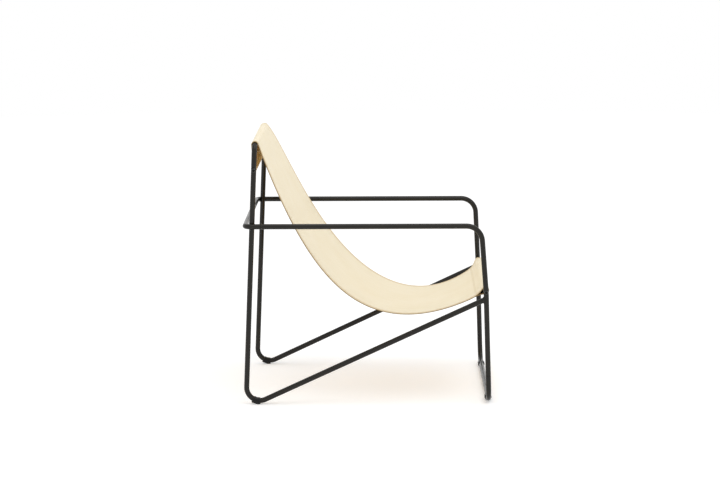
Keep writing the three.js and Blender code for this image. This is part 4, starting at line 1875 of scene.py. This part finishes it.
    def close_end(self, shape: Shape, ring: list[int], top: list[int], low: list[int],
                  flip: bool) -> None:
        """Closes a cut end of the sheet by a strip of faces.

        Args:
            shape: Shape of the sheet.
            ring: Ring at that end.
            top: Columns of the grain side, in order across.
            low: Columns of the flesh side, in the same order.
            flip: Whether the faces turn the other way.
        """
        strips = []
        for i in range(len(top) - 1):
            strips.append((ring[top[i]], ring[top[i + 1]], ring[low[i + 1]], ring[low[i]]))
        right = [ring[i] for i in range(low[0], len(ring))] + [ring[top[0]]]
        left = [ring[i] for i in range(top[-1], low[-1] + 1)]
        for strip in strips + [tuple(right), tuple(left)]:
            shape.face(strip, SheetFace.EDGE.value, not flip)

    def stitches(self, name: str, seam: Seam, points: np.ndarray, place: np.ndarray,
                 loop: SectionLoop) -> bpy.types.Object:
        """Builds a seam's rows of stitches on both of its faces.

        Args:
            name: Name of the piece.
            seam: The seam.
            points: Points of the sheet.
            place: Distance along the sheet of each station.
            loop: Section's loop.

        Returns:
            All the stitches as one piece.
        """
        top = [i for i, spot in enumerate(loop) if spot[1] == self.thickness / 2]
        across = np.array([loop[i][0] for i in top])
        shape = Shape()
        reach, pitch = self.half_width - self.stitching.side_inset, self.stitching.pitch
        count = int(2 * reach / pitch)
        for distance in self.stitching.rows:
            for mark, sign in seam.value:
                where = place[self.marks[mark]] + sign * distance
                index = float(np.interp(where, place, np.arange(len(place))))
                low = int(index)
                share = index - low
                line = points[low][top] * (1 - share) + points[low + 1][top] * share
                normals = self.outward(points, top, low)
                for k in range(count):
                    self.stitching.add(shape, across, line, normals, pitch * (k + 0.5) - reach)
        return self.fit(shape.piece(name, [WAXED_THREAD], self.stitching.sharp), Slot.LEATHER)

    def outward(self, points: np.ndarray, top: list[int], low: int) -> np.ndarray:
        """Outward directions of the grain side along one station.

        Args:
            points: Points of the sheet.
            top: Columns of the grain side.
            low: Number of the station.

        Returns:
            The direction at each of those columns.
        """
        along = points[low + 1][top] - points[low][top]
        normal = np.stack([-along[:, 2], np.zeros(len(top)), along[:, 0]], axis=1)
        return normal / np.linalg.norm(normal, axis=1, keepdims=True)

    def build(self) -> None:
        sheet, points, place, loop = self.sheet()
        self.fit(sheet, Slot.LEATHER, "leather_sling")
        threads = [
            self.stitches("front_seam_stitches", Seam.FRONT, points, place, loop),
            self.stitches("rear_hem_stitches", Seam.REAR, points, place, loop),
        ]


@dataclass
class Studio:
    """Camera, white surroundings, soft light and a pale floor."""

    camera_place: tuple[float, float, float] = (0.0595, -6.7465, 1.5079)
    yaw: float = -0.7256
    pitch: float = 8.8523
    roll: float = -0.2958
    lens: float = 108.92
    sensor: float = 36.0
    view_end: float = 100.0
    sky: float = 0.905
    key_power: float = 20.0
    key_size: float = 2.6
    key_place: tuple[float, float, float] = (0.5, -0.9, 3.2)
    key_aim: float = 0.4
    floor_rings: tuple[float, ...] = (0.6, 1.5, 4.0, 9.0)
    floor_sides: int = 64
    floor_colour: Colour = (0.86, 0.86, 0.86, 1.0)
    floor_lift: float = 0.31

    def add_camera(self) -> None:
        """Places the camera at the photograph's viewpoint."""
        yaw, pitch, roll = (math.radians(angle) for angle in (self.yaw, self.pitch, self.roll))
        ahead = math.cos(pitch)
        forward = Vector((math.sin(yaw) * ahead, math.cos(yaw) * ahead, -math.sin(pitch)))
        level = Vector((math.cos(yaw), -math.sin(yaw), 0.0))
        over = level.cross(forward)
        right = level * math.cos(roll) + over * math.sin(roll)
        up = over * math.cos(roll) - level * math.sin(roll)
        data = bpy.data.cameras.new("photo_camera")
        data.lens = self.lens
        data.sensor_width = self.sensor
        data.sensor_fit = "HORIZONTAL"
        data.clip_end = self.view_end
        camera = bpy.data.objects.new("photo_camera", data)
        turn = Matrix((right, up, -forward)).transposed().to_4x4()
        camera.matrix_world = Matrix.Translation(self.camera_place) @ turn
        bpy.context.scene.collection.objects.link(camera)
        bpy.context.scene.camera = camera

    def background_rays(self, bench: NodeBench) -> bpy.types.NodeSocket:
        """Picks the rays that see the background or mirror it.

        Args:
            bench: Bench of the material or the world.

        Returns:
            Mask that is 1 for camera, glossy and transmission rays.
        """
        path = bench.place("ShaderNodeLightPath").outputs
        seen = bench.calc("MAXIMUM", path["Is Camera Ray"], path["Is Glossy Ray"])
        return bench.calc("MAXIMUM", seen, path["Is Transmission Ray"])

    def add_world(self) -> None:
        """Makes even white surroundings that light the chair at a plain level."""
        world = bpy.data.worlds.new("white_room")
        world.use_nodes = True
        world.node_tree.nodes.clear()
        bench = NodeBench(world.node_tree)
        level = bench.step(self.background_rays(bench), 0.0, 1.0, start=self.sky, end=1.0)
        light = bench.place("ShaderNodeBackground", {"Color": WHITE, "Strength": level})
        bench.place("ShaderNodeOutputWorld", {"Surface": light.outputs["Background"]})
        bpy.context.scene.world = world

    def add_key(self) -> None:
        """Hangs one broad soft lamp above and in front of the chair."""
        data = bpy.data.lights.new("soft_key", "AREA")
        data.shape = "DISK"
        data.size = self.key_size
        data.energy = self.key_power
        lamp = bpy.data.objects.new("soft_key", data)
        lamp.location = self.key_place
        aim = AXIS_Z * self.key_aim - lamp.location
        lamp.rotation_euler = aim.to_track_quat("-Z", "Y").to_euler()
        bpy.context.scene.collection.objects.link(lamp)

    def add_floor(self) -> None:
        """Lays the floor: a wide disc that keeps the chair's shadow."""
        shape = Shape()
        centre = Vector((0.0, 0.0, 0.0))
        rings = []
        for radius in self.floor_rings:
            rings.append(shape.ring(circle(centre, AXIS_X, AXIS_Y, radius, self.floor_sides)))
        shape.cap(rings[0], centre)
        shape.skin(list(reversed(rings)))
        mesh = bpy.data.meshes.new("studio_floor")
        mesh.from_pydata([tuple(point) for point in shape.points], [], shape.faces)
        mesh.materials.append(self.floor_material())
        floor = bpy.data.objects.new("studio_floor", mesh)
        bpy.context.scene.collection.objects.link(floor)

    def floor_material(self) -> bpy.types.Material:
        """Makes a white floor, lifted to the background's level where it is seen.

        Returns:
            The material.
        """
        made = bpy.data.materials.new("white_floor")
        made.use_nodes = True
        made.node_tree.nodes.clear()
        bench = NodeBench(made.node_tree)
        matt = bench.place("ShaderNodeBsdfDiffuse", {"Color": self.floor_colour})
        lift = bench.calc("MULTIPLY", self.background_rays(bench), self.floor_lift)
        glow = bench.place("ShaderNodeEmission", {"Color": WHITE, "Strength": lift})
        both = bench.place("ShaderNodeAddShader", {0: matt.outputs["BSDF"], 1: glow.outputs["Emission"]})
        bench.place("ShaderNodeOutputMaterial", {"Surface": both.outputs["Shader"]})
        return made

    def build(self) -> None:
        """Sets up the view, the light and the floor."""
        bpy.context.scene.view_settings.view_transform = "Standard"
        self.add_camera()
        self.add_world()
        self.add_key()
        self.add_floor()


def main() -> None:
    """Builds the studio and every part of the chair in order."""
    logging.basicConfig(level=logging.INFO, format="%(name)s: %(message)s")
    Studio().build()
    sizes = FrameSizes.from_rail("front_seat_rail")
    tubes = TubeFrame(sizes)
    tubes.build()
    SlingRails(sizes, tubes).build()
    FloorGlides(sizes).build()
    LeatherSling(sizes).build()


if __name__ == "__main__":
    main()
